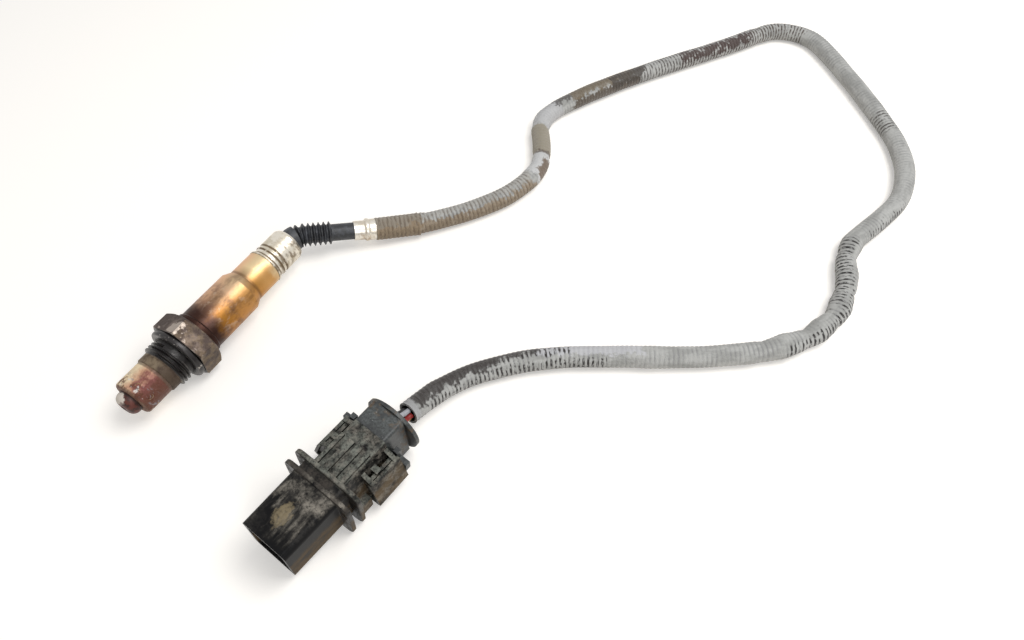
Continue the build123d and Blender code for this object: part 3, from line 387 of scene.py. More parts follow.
# ------------------------------------------------------------------------------------ materials
class Coat:
    """One material in the making: colour, roughness and relief that layers are laid over.

    Patterns are laid out in millimetres: in a pose's own directions or, for a lead, round it in X
    and Y and along it in Z. A mask is a socket that holds one where a layer lies and none elsewhere.
    """

    noise_roughness: float = 0.62
    bevel_samples: int = 6
    edge_detail: float = 6.0
    seed_shift: tuple[float, float, float] = (1.0, 1.7, -1.0)
    # the shares of a spot's reach at which it starts and is full
    spot_edge: tuple[float, float] = (1.1, 0.85)
    # how far tints wander along their axis, and the size of the lumps that they wander by
    tint_wander: tuple[float, float] = (6.0, 9.0)

    def __init__(self, name: str, colour: str, roughness: float, metallic: float = 0.0,
                 edge: float = 0.0, pose: Pose = TABLE, lead_radius: float = 0.0) -> None:
        """Starts a coat.

        Args:
            name: the material's name.
            colour: the ground colour in sRGB.
            roughness: the ground roughness.
            metallic: one for bare metal, less under a film of dirt.
            edge: radius in millimetres to which sharp edges look rounded.
            pose: the pose whose directions the patterns follow.
            lead_radius: for a lead, its radius in millimetres, and none for other pieces.
        """
        self.material = bpy.data.materials.new(name)
        self.material.use_nodes = True
        self.tree = self.material.node_tree
        self.tree.nodes.clear()
        self.shader = add_node(self.tree, "ShaderNodeBsdfPrincipled")
        self.shader.inputs["Metallic"].default_value = metallic
        self.shader.inputs["Roughness"].default_value = roughness
        self.shader.inputs["Base Color"].default_value = linear(colour)
        output = add_node(self.tree, "ShaderNodeOutputMaterial")
        self.tree.links.new(self.shader.outputs[0], output.inputs["Surface"])
        self.source = add_node(self.tree, "ShaderNodeTexCoord").outputs
        self.pose = pose
        self.place = self.place_round(lead_radius) if lead_radius else self.place_in(pose)
        self.relief: Socket | None = None
        if edge:
            rounding = add_node(self.tree, "ShaderNodeBevel", {"Radius": edge * MM},
                                samples=self.bevel_samples)
            self.relief = rounding.outputs[0]
            self.tree.links.new(self.relief, self.shader.inputs["Normal"])

    def place_in(self, pose: Pose) -> Socket:
        """Reads the surface's place in millimetres, in a pose's own directions.

        Args:
            pose: where the piece lies.

        Returns:
            The place, measured from the pose's middle.
        """
        scaled = add_node(self.tree, "ShaderNodeVectorMath", {0: self.source["Object"], "Scale": 1 / MM},
                          operation="SCALE").outputs[0]
        rotation = (math.radians(pose.roll), 0.0, math.radians(pose.yaw))
        return add_node(self.tree, "ShaderNodeMapping",
                        {"Vector": scaled, "Location": pose.middle, "Rotation": rotation},
                        vector_type="TEXTURE").outputs[0]

    def place_round(self, radius: float) -> Socket:
        """Reads the place on a lead in millimetres: round it in X and Y, along it in Z.

        Args:
            radius: the lead's radius in millimetres.

        Returns:
            The place, as if the lead stood straight up.
        """
        turn, along, _ = add_node(self.tree, "ShaderNodeSeparateXYZ", {0: self.source["UV"]}).outputs
        angle = add_node(self.tree, "ShaderNodeMath", {0: turn, 1: 2 * math.pi},
                         operation="MULTIPLY").outputs[0]
        across, up = (add_node(self.tree, "ShaderNodeMath", {0: angle}, operation=kind).outputs[0]
                      for kind in ("COSINE", "SINE"))
        shares = add_node(self.tree, "ShaderNodeCombineXYZ", {0: across, 1: up, 2: along}).outputs[0]
        return add_node(self.tree, "ShaderNodeVectorMath", {0: shares, 1: (radius, radius, 1 / MM)},
                        operation="MULTIPLY").outputs[0]

    def both(self, mask: Socket, share: Socket | float) -> Socket:
        """One mask within another, or a share of a mask."""
        return add_node(self.tree, "ShaderNodeMath", {0: mask, 1: share}, operation="MULTIPLY").outputs[0]

    def step(self, value: Socket, low: float, high: float) -> Socket:
        """None where a value is at or under low, full from high, and soft between them."""
        return add_node(self.tree, "ShaderNodeMapRange", {0: value, 1: low, 2: high},
                        interpolation_type="SMOOTHSTEP").outputs[0]

    def along(self, axis: Axis) -> Socket:
        """Millimetres along an axis."""
        return add_node(self.tree, "ShaderNodeVectorMath", {0: self.place, 1: axis.value},
                        operation="DOT_PRODUCT").outputs["Value"]

    def roughened(self, value: Socket, ragged: float, size: float, seed: float = 0.0) -> Socket:
        """Adds a random pattern to a value, so that an edge cut from it is ragged.

        Args:
            value: the value to change.
            ragged: how far the value wanders, and none to leave it.
            size: the size of the pattern's lumps, in millimetres.
            seed: shifts the pattern.

        Returns:
            The wandering value.
        """
        if not ragged:
            return value
        pattern = self.cloud(size, detail=self.edge_detail, seed=seed)
        centred = add_node(self.tree, "ShaderNodeMath", {0: pattern, 1: 0.5}, operation="SUBTRACT")
        return add_node(self.tree, "ShaderNodeMath", {0: centred.outputs[0], 1: ragged, 2: value},
                        operation="MULTIPLY_ADD").outputs[0]

    def current(self, socket: str) -> Socket | float | Colour:
        """Finds what feeds one of the shader's sockets now.

        Args:
            socket: the socket's name.

        Returns:
            The output that is linked to it, or its own value.
        """
        entry = self.shader.inputs[socket]
        if entry.is_linked:
            return entry.links[0].from_socket
        value = entry.default_value
        return value if isinstance(value, float) else tuple(value)

    def tint_along(self, axis: Axis, stops: Sequence[tuple[float, str]]) -> None:
        """Sets the ground colour from a run of tints along an axis.

        Args:
            axis: the axis that the tints follow.
            stops: (millimetres, sRGB colour) pairs in rising order.
        """
        first, last = stops[0][0], stops[-1][0]
        wandering = self.roughened(self.along(axis), *self.tint_wander)
        share = add_node(self.tree, "ShaderNodeMapRange", {0: wandering, 1: first, 2: last})
        ramp = add_node(self.tree, "ShaderNodeValToRGB", {0: share.outputs[0]})
        spots = ramp.color_ramp.elements
        while len(spots) < len(stops):
            spots.new(0.5)
        for spot, (place, colour) in zip(spots, stops):
            spot.position = (place - first) / (last - first)
            spot.color = linear(colour)
        self.tree.links.new(ramp.outputs[0], self.shader.inputs["Base Color"])

    def cloud(self, size: float, stretch: Sequence[float] = (1, 1, 1), detail: float = 5.0,
              seed: float = 0.0) -> Socket:
        """Makes a soft random pattern.

        Args:
            size: the size of its lumps, in millimetres.
            stretch: how many times longer the lumps are along each axis.
            detail: how many finer patterns are added.
            seed: shifts the pattern.

        Returns:
            A value about a half that runs from none to one.
        """
        scale = tuple(1 / (size * times) for times in stretch)
        shift = tuple(seed * times for times in self.seed_shift)
        spread = add_node(self.tree, "ShaderNodeVectorMath", {0: self.place, 1: scale, 2: shift},
                          operation="MULTIPLY_ADD").outputs[0]
        inputs = {"Vector": spread, "Scale": 1.0, "Detail": detail, "Roughness": self.noise_roughness}
        return add_node(self.tree, "ShaderNodeTexNoise", inputs).outputs[0]

    def blotches(self, size: float, low: float, high: float, stretch: Sequence[float] = (1, 1, 1),
                 detail: float = 5.0, seed: float = 0.0) -> Socket:
        """Patches cut from a random pattern: none where it is under low, full over high."""
        return self.step(self.cloud(size, stretch, detail, seed), low, high)

    def span(self, axis: Axis, start: float, end: float, feather: float, ragged: float = 0.0) -> Socket:
        """Masks a stretch of an axis.

        Args:
            axis: the axis that the stretch is on.
            start: where it starts, in millimetres.
            end: where it ends, in millimetres.
            feather: how far each end fades, in millimetres.
            ragged: how far each end wanders, in millimetres.

        Returns:
            The mask.
        """
        place = self.roughened(self.along(axis), ragged, max(ragged / 2, 1.0), start)
        rise = self.step(place, start - feather, start + feather)
        fall = self.step(place, end + feather, end - feather)
        return self.both(rise, fall)

    def spot(self, centre: Sequence[float], radii: Sequence[float], ragged: float, seed: float) -> Socket:
        """Masks a patch about a point.

        Args:
            centre: the patch's middle, in millimetres.
            radii: its reach along each axis, in millimetres.
            ragged: how far its edge wanders, as a share of its reach.
            seed: shifts the edge's pattern.

        Returns:
            The mask.
        """
        shares = self.place
        for operation, values in (("SUBTRACT", centre), ("DIVIDE", radii)):
            shares = add_node(self.tree, "ShaderNodeVectorMath", {0: shares, 1: tuple(values)},
                              operation=operation).outputs[0]
        reach = add_node(self.tree, "ShaderNodeVectorMath", {0: shares}, operation="LENGTH").outputs["Value"]
        return self.step(self.roughened(reach, ragged, min(radii), seed), *self.spot_edge)

    def facing(self, direction: Sequence[float], low: float, high: float, ragged: float = 0.0,
               size: float = 2.0) -> Socket:
        """Masks the part of a surface that faces a direction.

        Args:
            direction: the direction, in the pose's own directions.
            low: the share of facing at which the mask starts.
            high: the share of facing at which it is full.
            ragged: how far its edge wanders, as a share of facing.
            size: the size of the edge's lumps, in millimetres.

        Returns:
            The mask.
        """
        towards = self.pose.turn() @ Vector(direction).normalized()
        share = add_node(self.tree, "ShaderNodeVectorMath", {0: self.source["Normal"], 1: tuple(towards)},
                         operation="DOT_PRODUCT").outputs["Value"]
        return self.step(self.roughened(share, ragged, size, 3.0), low, high)

    def rings(self, axis: Axis, pitch: float, low: float, high: float) -> Socket:
        """Masks even bands across an axis.

        Args:
            axis: the axis that the bands cross.
            pitch: how far apart they are, in millimetres.
            low: the height of the wave between them at which the mask starts.
            high: the height of the wave at which it is full.

        Returns:
            The mask.
        """
        phase = add_node(self.tree, "ShaderNodeMath", {0: self.along(axis), 1: 2 * math.pi / pitch},
                         operation="MULTIPLY")
        wave = add_node(self.tree, "ShaderNodeMath", {0: phase.outputs[0]}, operation="SINE")
        return self.step(wave.outputs[0], low, high)

    def lay(self, colour: str | None, *masks: Socket, amount: float = 1.0, roughness: float | None = None,
            metallic: float | None = None) -> None:
        """Lays a layer over the coat where all its masks are on.

        Args:
            colour: the layer's sRGB colour, or None to leave the colour.
            masks: patterns that are multiplied together.
            amount: how much of the layer shows at most.
            roughness: the layer's roughness, if it changes that.
            metallic: the layer's metallic share, if it changes that.
        """
        share = amount
        for mask in masks:
            share = self.both(mask, share)
        if colour is not None:
            mixed = add_node(self.tree, "ShaderNodeMix",
                             {0: share, 6: self.current("Base Color"), 7: linear(colour)}, data_type="RGBA")
            self.tree.links.new(mixed.outputs[2], self.shader.inputs["Base Color"])
        for socket, value in (("Roughness", roughness), ("Metallic", metallic)):
            if value is not None:
                mixed = add_node(self.tree, "ShaderNodeMix", {0: share, 2: self.current(socket), 3: value})
                self.tree.links.new(mixed.outputs[0], self.shader.inputs[socket])

    def emboss(self, height: Socket, depth: float) -> None:
        """Adds relief over what the coat has.

        Args:
            height: a pattern that is one at the top of the relief.
            depth: the relief's depth in millimetres.
        """
        inputs = {"Height": height, "Distance": depth * MM, "Strength": 1.0}
        if self.relief is not None:
            inputs["Normal"] = self.relief
        self.relief = add_node(self.tree, "ShaderNodeBump", inputs).outputs[0]
        self.tree.links.new(self.relief, self.shader.inputs["Normal"])


@dataclass(frozen=True)
class HeatTintedSleeve:
    """Drawn stainless steel, burnt brown near the hexagon and straw gold toward the cap.

    Oxide tints keep the metal's gloss; soot and road film near the hexagon dull it. The flank away from the
    plug is lightened with a pale brown, partly its tint and partly painted light.
    """

    tints: tuple[tuple[float, str], ...] = (
        (-47.7, "#ccb894"),
        (-42.0, "#d9c196"),
        (-37.0, "#9f8464"),
        (-33.0, "#c0a684"),
        (-28.0, "#b8987a"),
        (-23.5, "#a08062"),
        (-19.5, "#6f5344"),
        (-15.5, "#3d2a24"),
        (-9.0, "#2f201c"),
    )
    far_tint_and_painted_light: str = "#e6b48c"
    straw: str = "#ae7629"
    plum: str = "#5f4a43"
    umber: str = "#4a3326"
    chalk: str = "#b7a28e"
    shoulder: str = "#5d4530"
    far_tint_and_painted_light_span: tuple[float, float] = (-48.0, -18.0)
    straw_span: tuple[float, float] = (-47.0, -17.0)
    plum_span: tuple[float, float] = (-28.0, -14.0)
    umber_span: tuple[float, float] = (-36.0, -12.0)
    chalk_span: tuple[float, float] = (-31.0, -17.0)
    shoulder_span: tuple[float, float] = (-37.4, -36.2)
    far_side: tuple[float, float, float] = (0.0, -1.0, 0.35)
    plug_side: tuple[float, float, float] = (0.0, 1.0, 0.1)

    def build(self) -> bpy.types.Material:
        """Makes the material.

        Returns:
            The finished material.
        """
        coat = Coat("heat_tinted_stainless", self.tints[4][1], roughness=0.33, metallic=1.0, edge=0.25)
        coat.tint_along(Axis.X, self.tints)
        # the flank away from the plug: partly its brown tint, partly painted light that lightens that dim
        # side
        coat.lay(self.far_tint_and_painted_light, coat.facing(self.far_side, low=0.2, high=0.9),
                 coat.span(Axis.X, *self.far_tint_and_painted_light_span, feather=3.0, ragged=6.0), amount=0.85,
                 roughness=0.46, metallic=0.45)
        coat.lay(self.straw, coat.facing(self.plug_side, low=0.3, high=0.9),
                 coat.span(Axis.X, *self.straw_span, feather=3.0, ragged=8.0), amount=0.75)
        coat.lay(self.plum, coat.blotches(size=5.5, low=0.44, high=0.66, seed=3.0),
                 coat.span(Axis.X, *self.plum_span, feather=4.0), amount=0.7, roughness=0.48)
        coat.lay(self.umber, coat.blotches(size=3.0, low=0.46, high=0.66, stretch=(2.4, 1, 1), seed=8.0),
                 coat.span(Axis.X, *self.umber_span, feather=3.0), amount=0.4, roughness=0.5)
        coat.lay(self.chalk, coat.blotches(size=2.2, low=0.52, high=0.7, stretch=(1.3, 1, 1), seed=5.0),
                 coat.span(Axis.X, *self.chalk_span, feather=4.0), amount=0.45, roughness=0.5)
        coat.lay(self.shoulder, coat.span(Axis.X, *self.shoulder_span, feather=0.5), amount=0.55)
        # drawing marks run along the sleeve, and are drawn coarser than they are so that they show
        coat.lay(None, coat.cloud(1.2, stretch=(6, 1, 1), seed=2.0), roughness=0.5)
        coat.emboss(coat.cloud(0.5, stretch=(5, 1, 1)), depth=0.012)
        coat.emboss(coat.blotches(size=3.0, low=0.4, high=0.7, seed=5.0), depth=0.03)
        return coat.material


@dataclass(frozen=True)
class BakedShellSteel:
    """Machined steel shell under a baked film of road dirt, dull and brown.

    The film has flaked off the hexagon in places, where the steel is bright. Soot and oil make the
    thread near black and glossy, with its crests rubbed grey.
    """

    ground: str = "#64574f"
    film: str = "#33231b"
    khaki: str = "#7f6c50"
    soot: str = "#0f0c0c"
    bare: str = "#aea297"
    neck: str = "#7c6d58"
    rust: str = "#3b2b20"
    rust_and_painted_shade: str = "#3a2a20"
    crest: str = "#8a8480"
    hexagon_span: tuple[float, float] = (-11.0, -2.3)
    edge_span: tuple[float, float] = (-3.7, -2.2)
    soot_span: tuple[float, float] = (-2.4, 6.3)
    thread_span: tuple[float, float] = (1.0, 6.2)
    neck_span: tuple[float, float] = (6.2, 11.0)
    thread_pitch: float = 1.5
    flake_centre: tuple[float, float, float] = (-5.0, 0.6, 11.4)
    flake_radii: tuple[float, float, float] = (3.0, 3.0, 4.0)
    plug_side: tuple[float, float, float] = (0.0, 1.0, 0.1)

    def build(self) -> bpy.types.Material:
        """Makes the material.

        Returns:
            The finished material.
        """
        coat = Coat("baked_shell_steel", self.ground, roughness=0.44, metallic=0.7, edge=0.3)
        hexagon = coat.span(Axis.X, *self.hexagon_span, feather=0.2)
        neck = coat.span(Axis.X, *self.neck_span, feather=0.3)
        coat.lay(self.film, hexagon, coat.blotches(size=6.0, low=0.36, high=0.54, seed=4.0), amount=0.9,
                 roughness=0.5, metallic=0.4)
        coat.lay(self.khaki, hexagon, coat.facing(self.plug_side, low=0.4, high=0.9, ragged=0.6),
                 coat.blotches(size=3.5, low=0.38, high=0.62, seed=14.0), amount=0.6, roughness=0.5)
        coat.lay(self.bare, coat.spot(self.flake_centre, self.flake_radii, ragged=2.8, seed=2.0),
                 amount=0.75, roughness=0.36, metallic=0.85)
        coat.lay(self.bare, coat.blotches(size=1.6, low=0.56, high=0.64, stretch=(1, 2, 2), seed=11.0),
                 coat.span(Axis.X, *self.edge_span, feather=0.3), amount=0.7, roughness=0.36,
                 metallic=0.9)
        coat.lay(self.neck, neck, roughness=0.6, metallic=0.4)
        coat.lay(self.rust, coat.blotches(size=3.2, low=0.4, high=0.64, seed=6.0), neck, amount=0.8,
                 roughness=0.7)
        # painted shade: the neck's side toward the plug is darkened with the rust colour
        coat.lay(self.rust_and_painted_shade, coat.facing(Axis.Y.value, low=0.1, high=0.8, ragged=0.6), neck,
                 amount=0.8)
        coat.lay(self.soot, coat.span(Axis.X, *self.soot_span, feather=0.15), amount=0.97, roughness=0.3,
                 metallic=0.3)
        coat.lay(self.crest, coat.rings(Axis.X, self.thread_pitch, low=0.8, high=1.0),
                 coat.span(Axis.X, *self.thread_span, feather=0.3),
                 coat.blotches(size=4.0, low=0.48, high=0.6, seed=2.0), amount=0.5, metallic=0.9)
        coat.emboss(coat.cloud(0.8), depth=0.03)
        coat.emboss(coat.blotches(size=2.2, low=0.45, high=0.6, seed=4.0), depth=0.05)
        return coat.material


@dataclass(frozen=True)
class StainedTubeSteel:
    """Heat-resistant steel tube with fired-on deposits, cream on one side and dark red on the other."""

    cream: str = "#e9d3b0"
    peach: str = "#c28f70"
    brick: str = "#6a2b2c"
    brown: str = "#5b3320"
    crust: str = "#ddd6cf"
    slate: str = "#8f8a8c"
    crimp: str = "#5e4f40"
    crimp_span: tuple[float, float] = (9.0, 10.9)
    slate_span: tuple[float, float] = (15.0, 19.5)
    crusted_span: tuple[float, float] = (16.0, 20.8)
    browned_span: tuple[float, float] = (17.5, 22.0)
    rim_span: tuple[float, float] = (20.3, 22.0)
    upper_side: tuple[float, float, float] = (0.0, 0.75, 1.0)
    plug_side: tuple[float, float, float] = (0.0, 1.0, 0.35)
    under_side: tuple[float, float, float] = (0.0, 1.0, -0.1)
    crusted_side: tuple[float, float, float] = (0.0, 1.0, 0.8)

    def build(self) -> bpy.types.Material:
        """Makes the material.

        Returns:
            The finished material.
        """
        coat = Coat("stained_tube_steel", self.cream, roughness=0.58, metallic=0.25, edge=0.2)
        coat.lay(self.peach, coat.facing(self.upper_side, low=0.55, high=0.98, ragged=0.7, size=3.0),
                 amount=0.85)
        coat.lay(self.brick, coat.facing(self.plug_side, low=0.4, high=0.82, ragged=1.1, size=3.0),
                 amount=0.92, roughness=0.45)
        coat.lay(self.brown, coat.facing(self.under_side, low=0.5, high=0.9, ragged=0.8, size=2.5),
                 amount=0.85)
        coat.lay(self.brown, coat.blotches(size=2.2, low=0.48, high=0.58, seed=9.0),
                 coat.span(Axis.X, *self.browned_span, feather=1.2, ragged=2.0), amount=0.85,
                 roughness=0.7)
        coat.lay(self.brown, coat.span(Axis.X, *self.rim_span, feather=0.4, ragged=1.2), amount=0.9,
                 roughness=0.6)
        coat.lay(self.slate, coat.blotches(size=2.0, low=0.55, high=0.6, stretch=(1, 2, 2), seed=3.0),
                 coat.span(Axis.X, *self.slate_span, feather=1.0, ragged=2.0), amount=0.75, roughness=0.7)
        coat.lay(self.crust, coat.blotches(size=2.6, low=0.57, high=0.61, seed=12.0),
                 coat.span(Axis.X, *self.crusted_span, feather=0.6),
                 coat.facing(self.crusted_side, low=0.1, high=0.6), amount=0.9, roughness=0.8,
                 metallic=0.0)
        coat.lay(self.crimp, coat.span(Axis.X, *self.crimp_span, feather=0.3), amount=0.7)
        coat.emboss(coat.blotches(size=1.8, low=0.42, high=0.62, seed=12.0), depth=0.16)
        coat.emboss(coat.cloud(0.7), depth=0.06)
        return coat.material


@dataclass(frozen=True)
class SootedTipSteel:
    """Inner tube's dome: baked red-brown with a pale crust on the side away from the plug."""

    ground: str = "#58291f"
    crust: str = "#dbd2c6"
    soot: str = "#2b1610"
    soot_span: tuple[float, float] = (19.0, 21.9)
    crust_centre: tuple[float, float, float] = (23.6, -2.4, 4.6)
    crust_radii: tuple[float, float, float] = (2.0, 3.8, 3.6)

    def build(self) -> bpy.types.Material:
        """Makes the material.

        Returns:
            The finished material.
        """
        coat = Coat("sooted_tip_steel", self.ground, roughness=0.46, metallic=0.3, edge=0.2)
        coat.lay(self.soot, coat.blotches(size=2.4, low=0.45, high=0.57, seed=3.0), amount=0.85)
        coat.lay(self.soot, coat.span(Axis.X, *self.soot_span, feather=0.5, ragged=0.8), amount=0.9)
        coat.lay(self.crust, coat.spot(self.crust_centre, self.crust_radii, ragged=1.0, seed=4.0),
                 amount=0.92, roughness=0.75, metallic=0.0)
        coat.emboss(coat.cloud(0.9), depth=0.08)
        return coat.material


@dataclass(frozen=True)
class BrightCrimpSteel:
    """Bright stainless pressing, dulled in patches, with brown marks caught in its crimped grooves."""

    name: str = "bright_crimp_steel"
    ground: str = "#dad3c6"
    dulled: str = "#ada188"
    stain_and_painted_shade: str = "#5f4a2c"
    stained_and_painted_shade_side: tuple[float, float, float] = (0.0, 1.0, 0.1)
    grooves: tuple[tuple[float, float], ...] = ()

    def build(self) -> bpy.types.Material:
        """Makes the material.

        Returns:
            The finished material.
        """
        coat = Coat(self.name, self.ground, roughness=0.3, metallic=1.0, edge=0.2)
        coat.lay(self.dulled,
                 coat.blotches(size=3.0, low=0.42, high=0.62, stretch=(1, 1.6, 1.6), seed=2.0),
                 amount=0.6, roughness=0.42)
        # on the cap this layer gives brown marks; on the ferrule it is painted shade along its lower side
        coat.lay(self.stain_and_painted_shade,
                 coat.blotches(size=2.2, low=0.46, high=0.64, stretch=(0.7, 1.8, 1.8), seed=6.0),
                 coat.facing(self.stained_and_painted_shade_side, low=0.2, high=0.9, ragged=0.8), amount=0.75,
                 roughness=0.5, metallic=0.6)
        for start, end in self.grooves:
            coat.lay(self.stain_and_painted_shade, coat.span(Axis.X, start, end, feather=0.18),
                     coat.blotches(size=3.0, low=0.36, high=0.5, seed=start), amount=0.9, roughness=0.6,
                     metallic=0.4)
        coat.emboss(coat.cloud(0.6, seed=3.0), depth=0.02)
        return coat.material


@dataclass(frozen=True)
class FoldedGasketSteel:
    """Folded steel gasket, plated grey and oiled dark where it meets the thread."""

    ground: str = "#7d7976"
    oil: str = "#171314"
    rubbed: str = "#b9b3ac"
    oiled_side: tuple[float, float, float] = (0.0, 0.6, 1.0)

    def build(self) -> bpy.types.Material:
        """Makes the material.

        Returns:
            The finished material.
        """
        coat = Coat("folded_gasket_steel", self.ground, roughness=0.36, metallic=0.9, edge=0.25)
        coat.lay(self.oil, coat.facing(self.oiled_side, low=-0.35, high=0.25, ragged=0.8, size=4.0),
                 amount=0.92, roughness=0.32, metallic=0.4)
        coat.lay(self.rubbed, coat.blotches(size=1.6, low=0.6, high=0.64, seed=5.0), amount=0.7,
                 metallic=0.9)
        coat.emboss(coat.cloud(1.0), depth=0.03)
        return coat.material


@dataclass(frozen=True)
class MouldedRubber:
    """Moulded fluoro rubber: near black, with a soft sheen and a bloom that greys its high places."""

    ground: str = "#232427"
    bloom: str = "#5c5f66"

    def build(self) -> bpy.types.Material:
        """Makes the material.

        Returns:
            The finished material.
        """
        coat = Coat("moulded_fluoro_rubber", self.ground, roughness=0.46)
        coat.lay(self.bloom, coat.blotches(size=3.0, low=0.44, high=0.66, seed=4.0), amount=0.4,
                 roughness=0.6)
        # the mould's fine grain, drawn coarser than it is so that it shows
        coat.emboss(coat.cloud(0.35), depth=0.02)
        return coat.material


@dataclass(frozen=True)
class Mark:
    """A mark on the lead, mostly dirt and oil and once a painted highlight: from where to where along it in
    millimetres, its colour and its side.

    It reaches round the lead as far as the surface faces its side by at least the reach, and one
    that lies in the gaps darkens only what shows between the rings of yarn.
    """

    start: float
    end: float
    colour: str
    side: Side | None = None
    reach: float = 0.0
    gaps: bool = False
    amount: float = 0.9
    roughness: float = 0.8
    ragged: float = 10.0


@dataclass(frozen=True)
class BraidedFibre:
    """Glass-fibre braid: dull pale grey yarn in fine rings, with the dark under-layer in the gaps.

    The rings are as far apart as the yarn's turns. Road dirt has browned its first part, oil has
    blackened some runs, and where the lead was bent most the gaps stand open.
    """

    radius: float
    ring_pitch: float
    yarn: str = "#b5b5b2"
    shade: str = "#8b8b88"
    gap: str = "#6c6c6e"
    end_fade: float = 0.6
    side_fade: float = 0.3
    side_ragged: float = 2.2
    side_lump: float = 2.4
    marks: tuple[Mark, ...] = (
        Mark(-9.0, 19.0, "#84755f", amount=0.7),
        Mark(-9.0, 73.0, "#8f7c63", Side.LOWER, -0.15, amount=0.8),
        Mark(-9.0, 74.0, "#7b6b55", Side.LOWER, 0.35, amount=0.6),
        Mark(20.0, 74.0, "#a9a59d", Side.UPPER, 0.1, amount=0.5),
        Mark(-9.0, 72.0, "#4f3d2a", gaps=True, amount=0.5),
        Mark(75.0, 89.0, "#cfcfcf", amount=0.8, ragged=8.0),
        Mark(77.0, 86.0, "#66523d", Side.RIGHT, 0.3, ragged=12.0),
        Mark(90.0, 108.0, "#938a78", amount=0.85, ragged=4.0),
        Mark(89.0, 90.6, "#57473a", amount=0.8, ragged=6.0),
        Mark(108.0, 127.0, "#c4c4c6", amount=0.6),
        Mark(124.0, 176.0, "#3b3530", Side.UPPER, 0.2, amount=0.85, roughness=0.45, ragged=24.0),
        Mark(134.0, 174.0, "#42321c", Side.LOWER, -0.05, roughness=0.4, ragged=24.0),
        Mark(140.0, 172.0, "#6d604b", Side.UPPER, -0.2, amount=0.8, roughness=0.6, ragged=60.0),
        Mark(156.0, 176.0, "#32291f", Side.TOP, 0.35, roughness=0.45, ragged=60.0),
        Mark(172.0, 199.0, "#4f4a47", gaps=True, amount=0.9),
        Mark(198.0, 244.0, "#2f1c14", gaps=True, amount=1.0),
        Mark(199.0, 242.0, "#35211a", Side.TOP, 0.62, amount=0.95, roughness=0.5, ragged=16.0),
        Mark(243.0, 276.0, "#463a33", gaps=True, amount=0.9),
        Mark(344.0, 357.0, "#45403d", gaps=True, amount=0.9),
        Mark(403.0, 430.0, "#33302e", Side.LOWER, -0.1, gaps=True, amount=1.0),
        Mark(438.0, 476.0, "#1f1b1a", Side.LEFT, -0.35, gaps=True, amount=1.0),
        Mark(464.0, 506.0, "#231f1d", Side.LOWER, -0.4, gaps=True, amount=1.0),
        # painted highlight: a pale patch along the lead's upper side
        Mark(560.0, 600.0, "#cbcbd0", Side.UPPER, 0.1, amount=0.6),
        Mark(574.0, 646.0, "#2a2624", Side.LOWER, -0.1, gaps=True, amount=1.0),
        Mark(588.0, 652.0, "#282422", Side.UPPER, 0.1, gaps=True, amount=1.0),
        Mark(598.0, 652.0, "#2c2623", Side.UPPER, 0.5, roughness=0.6, ragged=30.0),
        Mark(616.0, 652.0, "#2c2623", Side.UPPER, 0.05, roughness=0.6, ragged=24.0),
        Mark(650.5, 660.0, "#a9a9a9", ragged=4.0),
    )

    def build(self) -> bpy.types.Material:
        """Makes the material.

        Returns:
            The finished material.
        """
        coat = Coat("braided_glass_fibre", self.yarn, roughness=0.82, lead_radius=self.radius)
        coat.lay(self.shade, coat.blotches(size=4.0, low=0.4, high=0.62, stretch=(1, 1, 3), seed=1.0),
                 amount=0.6)
        narrow_gaps = coat.rings(Axis.Z, self.ring_pitch, low=0.1, high=-0.75)
        wide_gaps = coat.rings(Axis.Z, self.ring_pitch, low=0.5, high=-0.3)
        broken = coat.blotches(size=2.2, low=0.44, high=0.52, stretch=(1, 1, 0.35), seed=4.0)
        open_gaps = coat.both(wide_gaps, broken)
        coat.lay(self.gap, narrow_gaps, coat.blotches(size=6.0, low=0.4, high=0.6, seed=8.0), amount=0.4)
        for mark in self.marks:
            masks = [coat.span(Axis.Z, mark.start, mark.end, self.end_fade, mark.ragged)]
            if mark.side:
                masks.append(coat.facing(mark.side.value, mark.reach, mark.reach + self.side_fade,
                                         self.side_ragged, self.side_lump))
            if mark.gaps:
                masks.append(open_gaps)
            coat.lay(mark.colour, *masks, amount=mark.amount, roughness=mark.roughness)
        # single yarns, drawn coarser than they are so that they show
        coat.emboss(coat.blotches(size=0.8, low=0.3, high=0.7, stretch=(1, 1, 0.5), detail=2.0, seed=3.0),
                    depth=0.12)
        coat.shader.inputs["Sheen Weight"].default_value = 0.2
        coat.shader.inputs["Sheen Roughness"].default_value = 0.5
        return coat.material


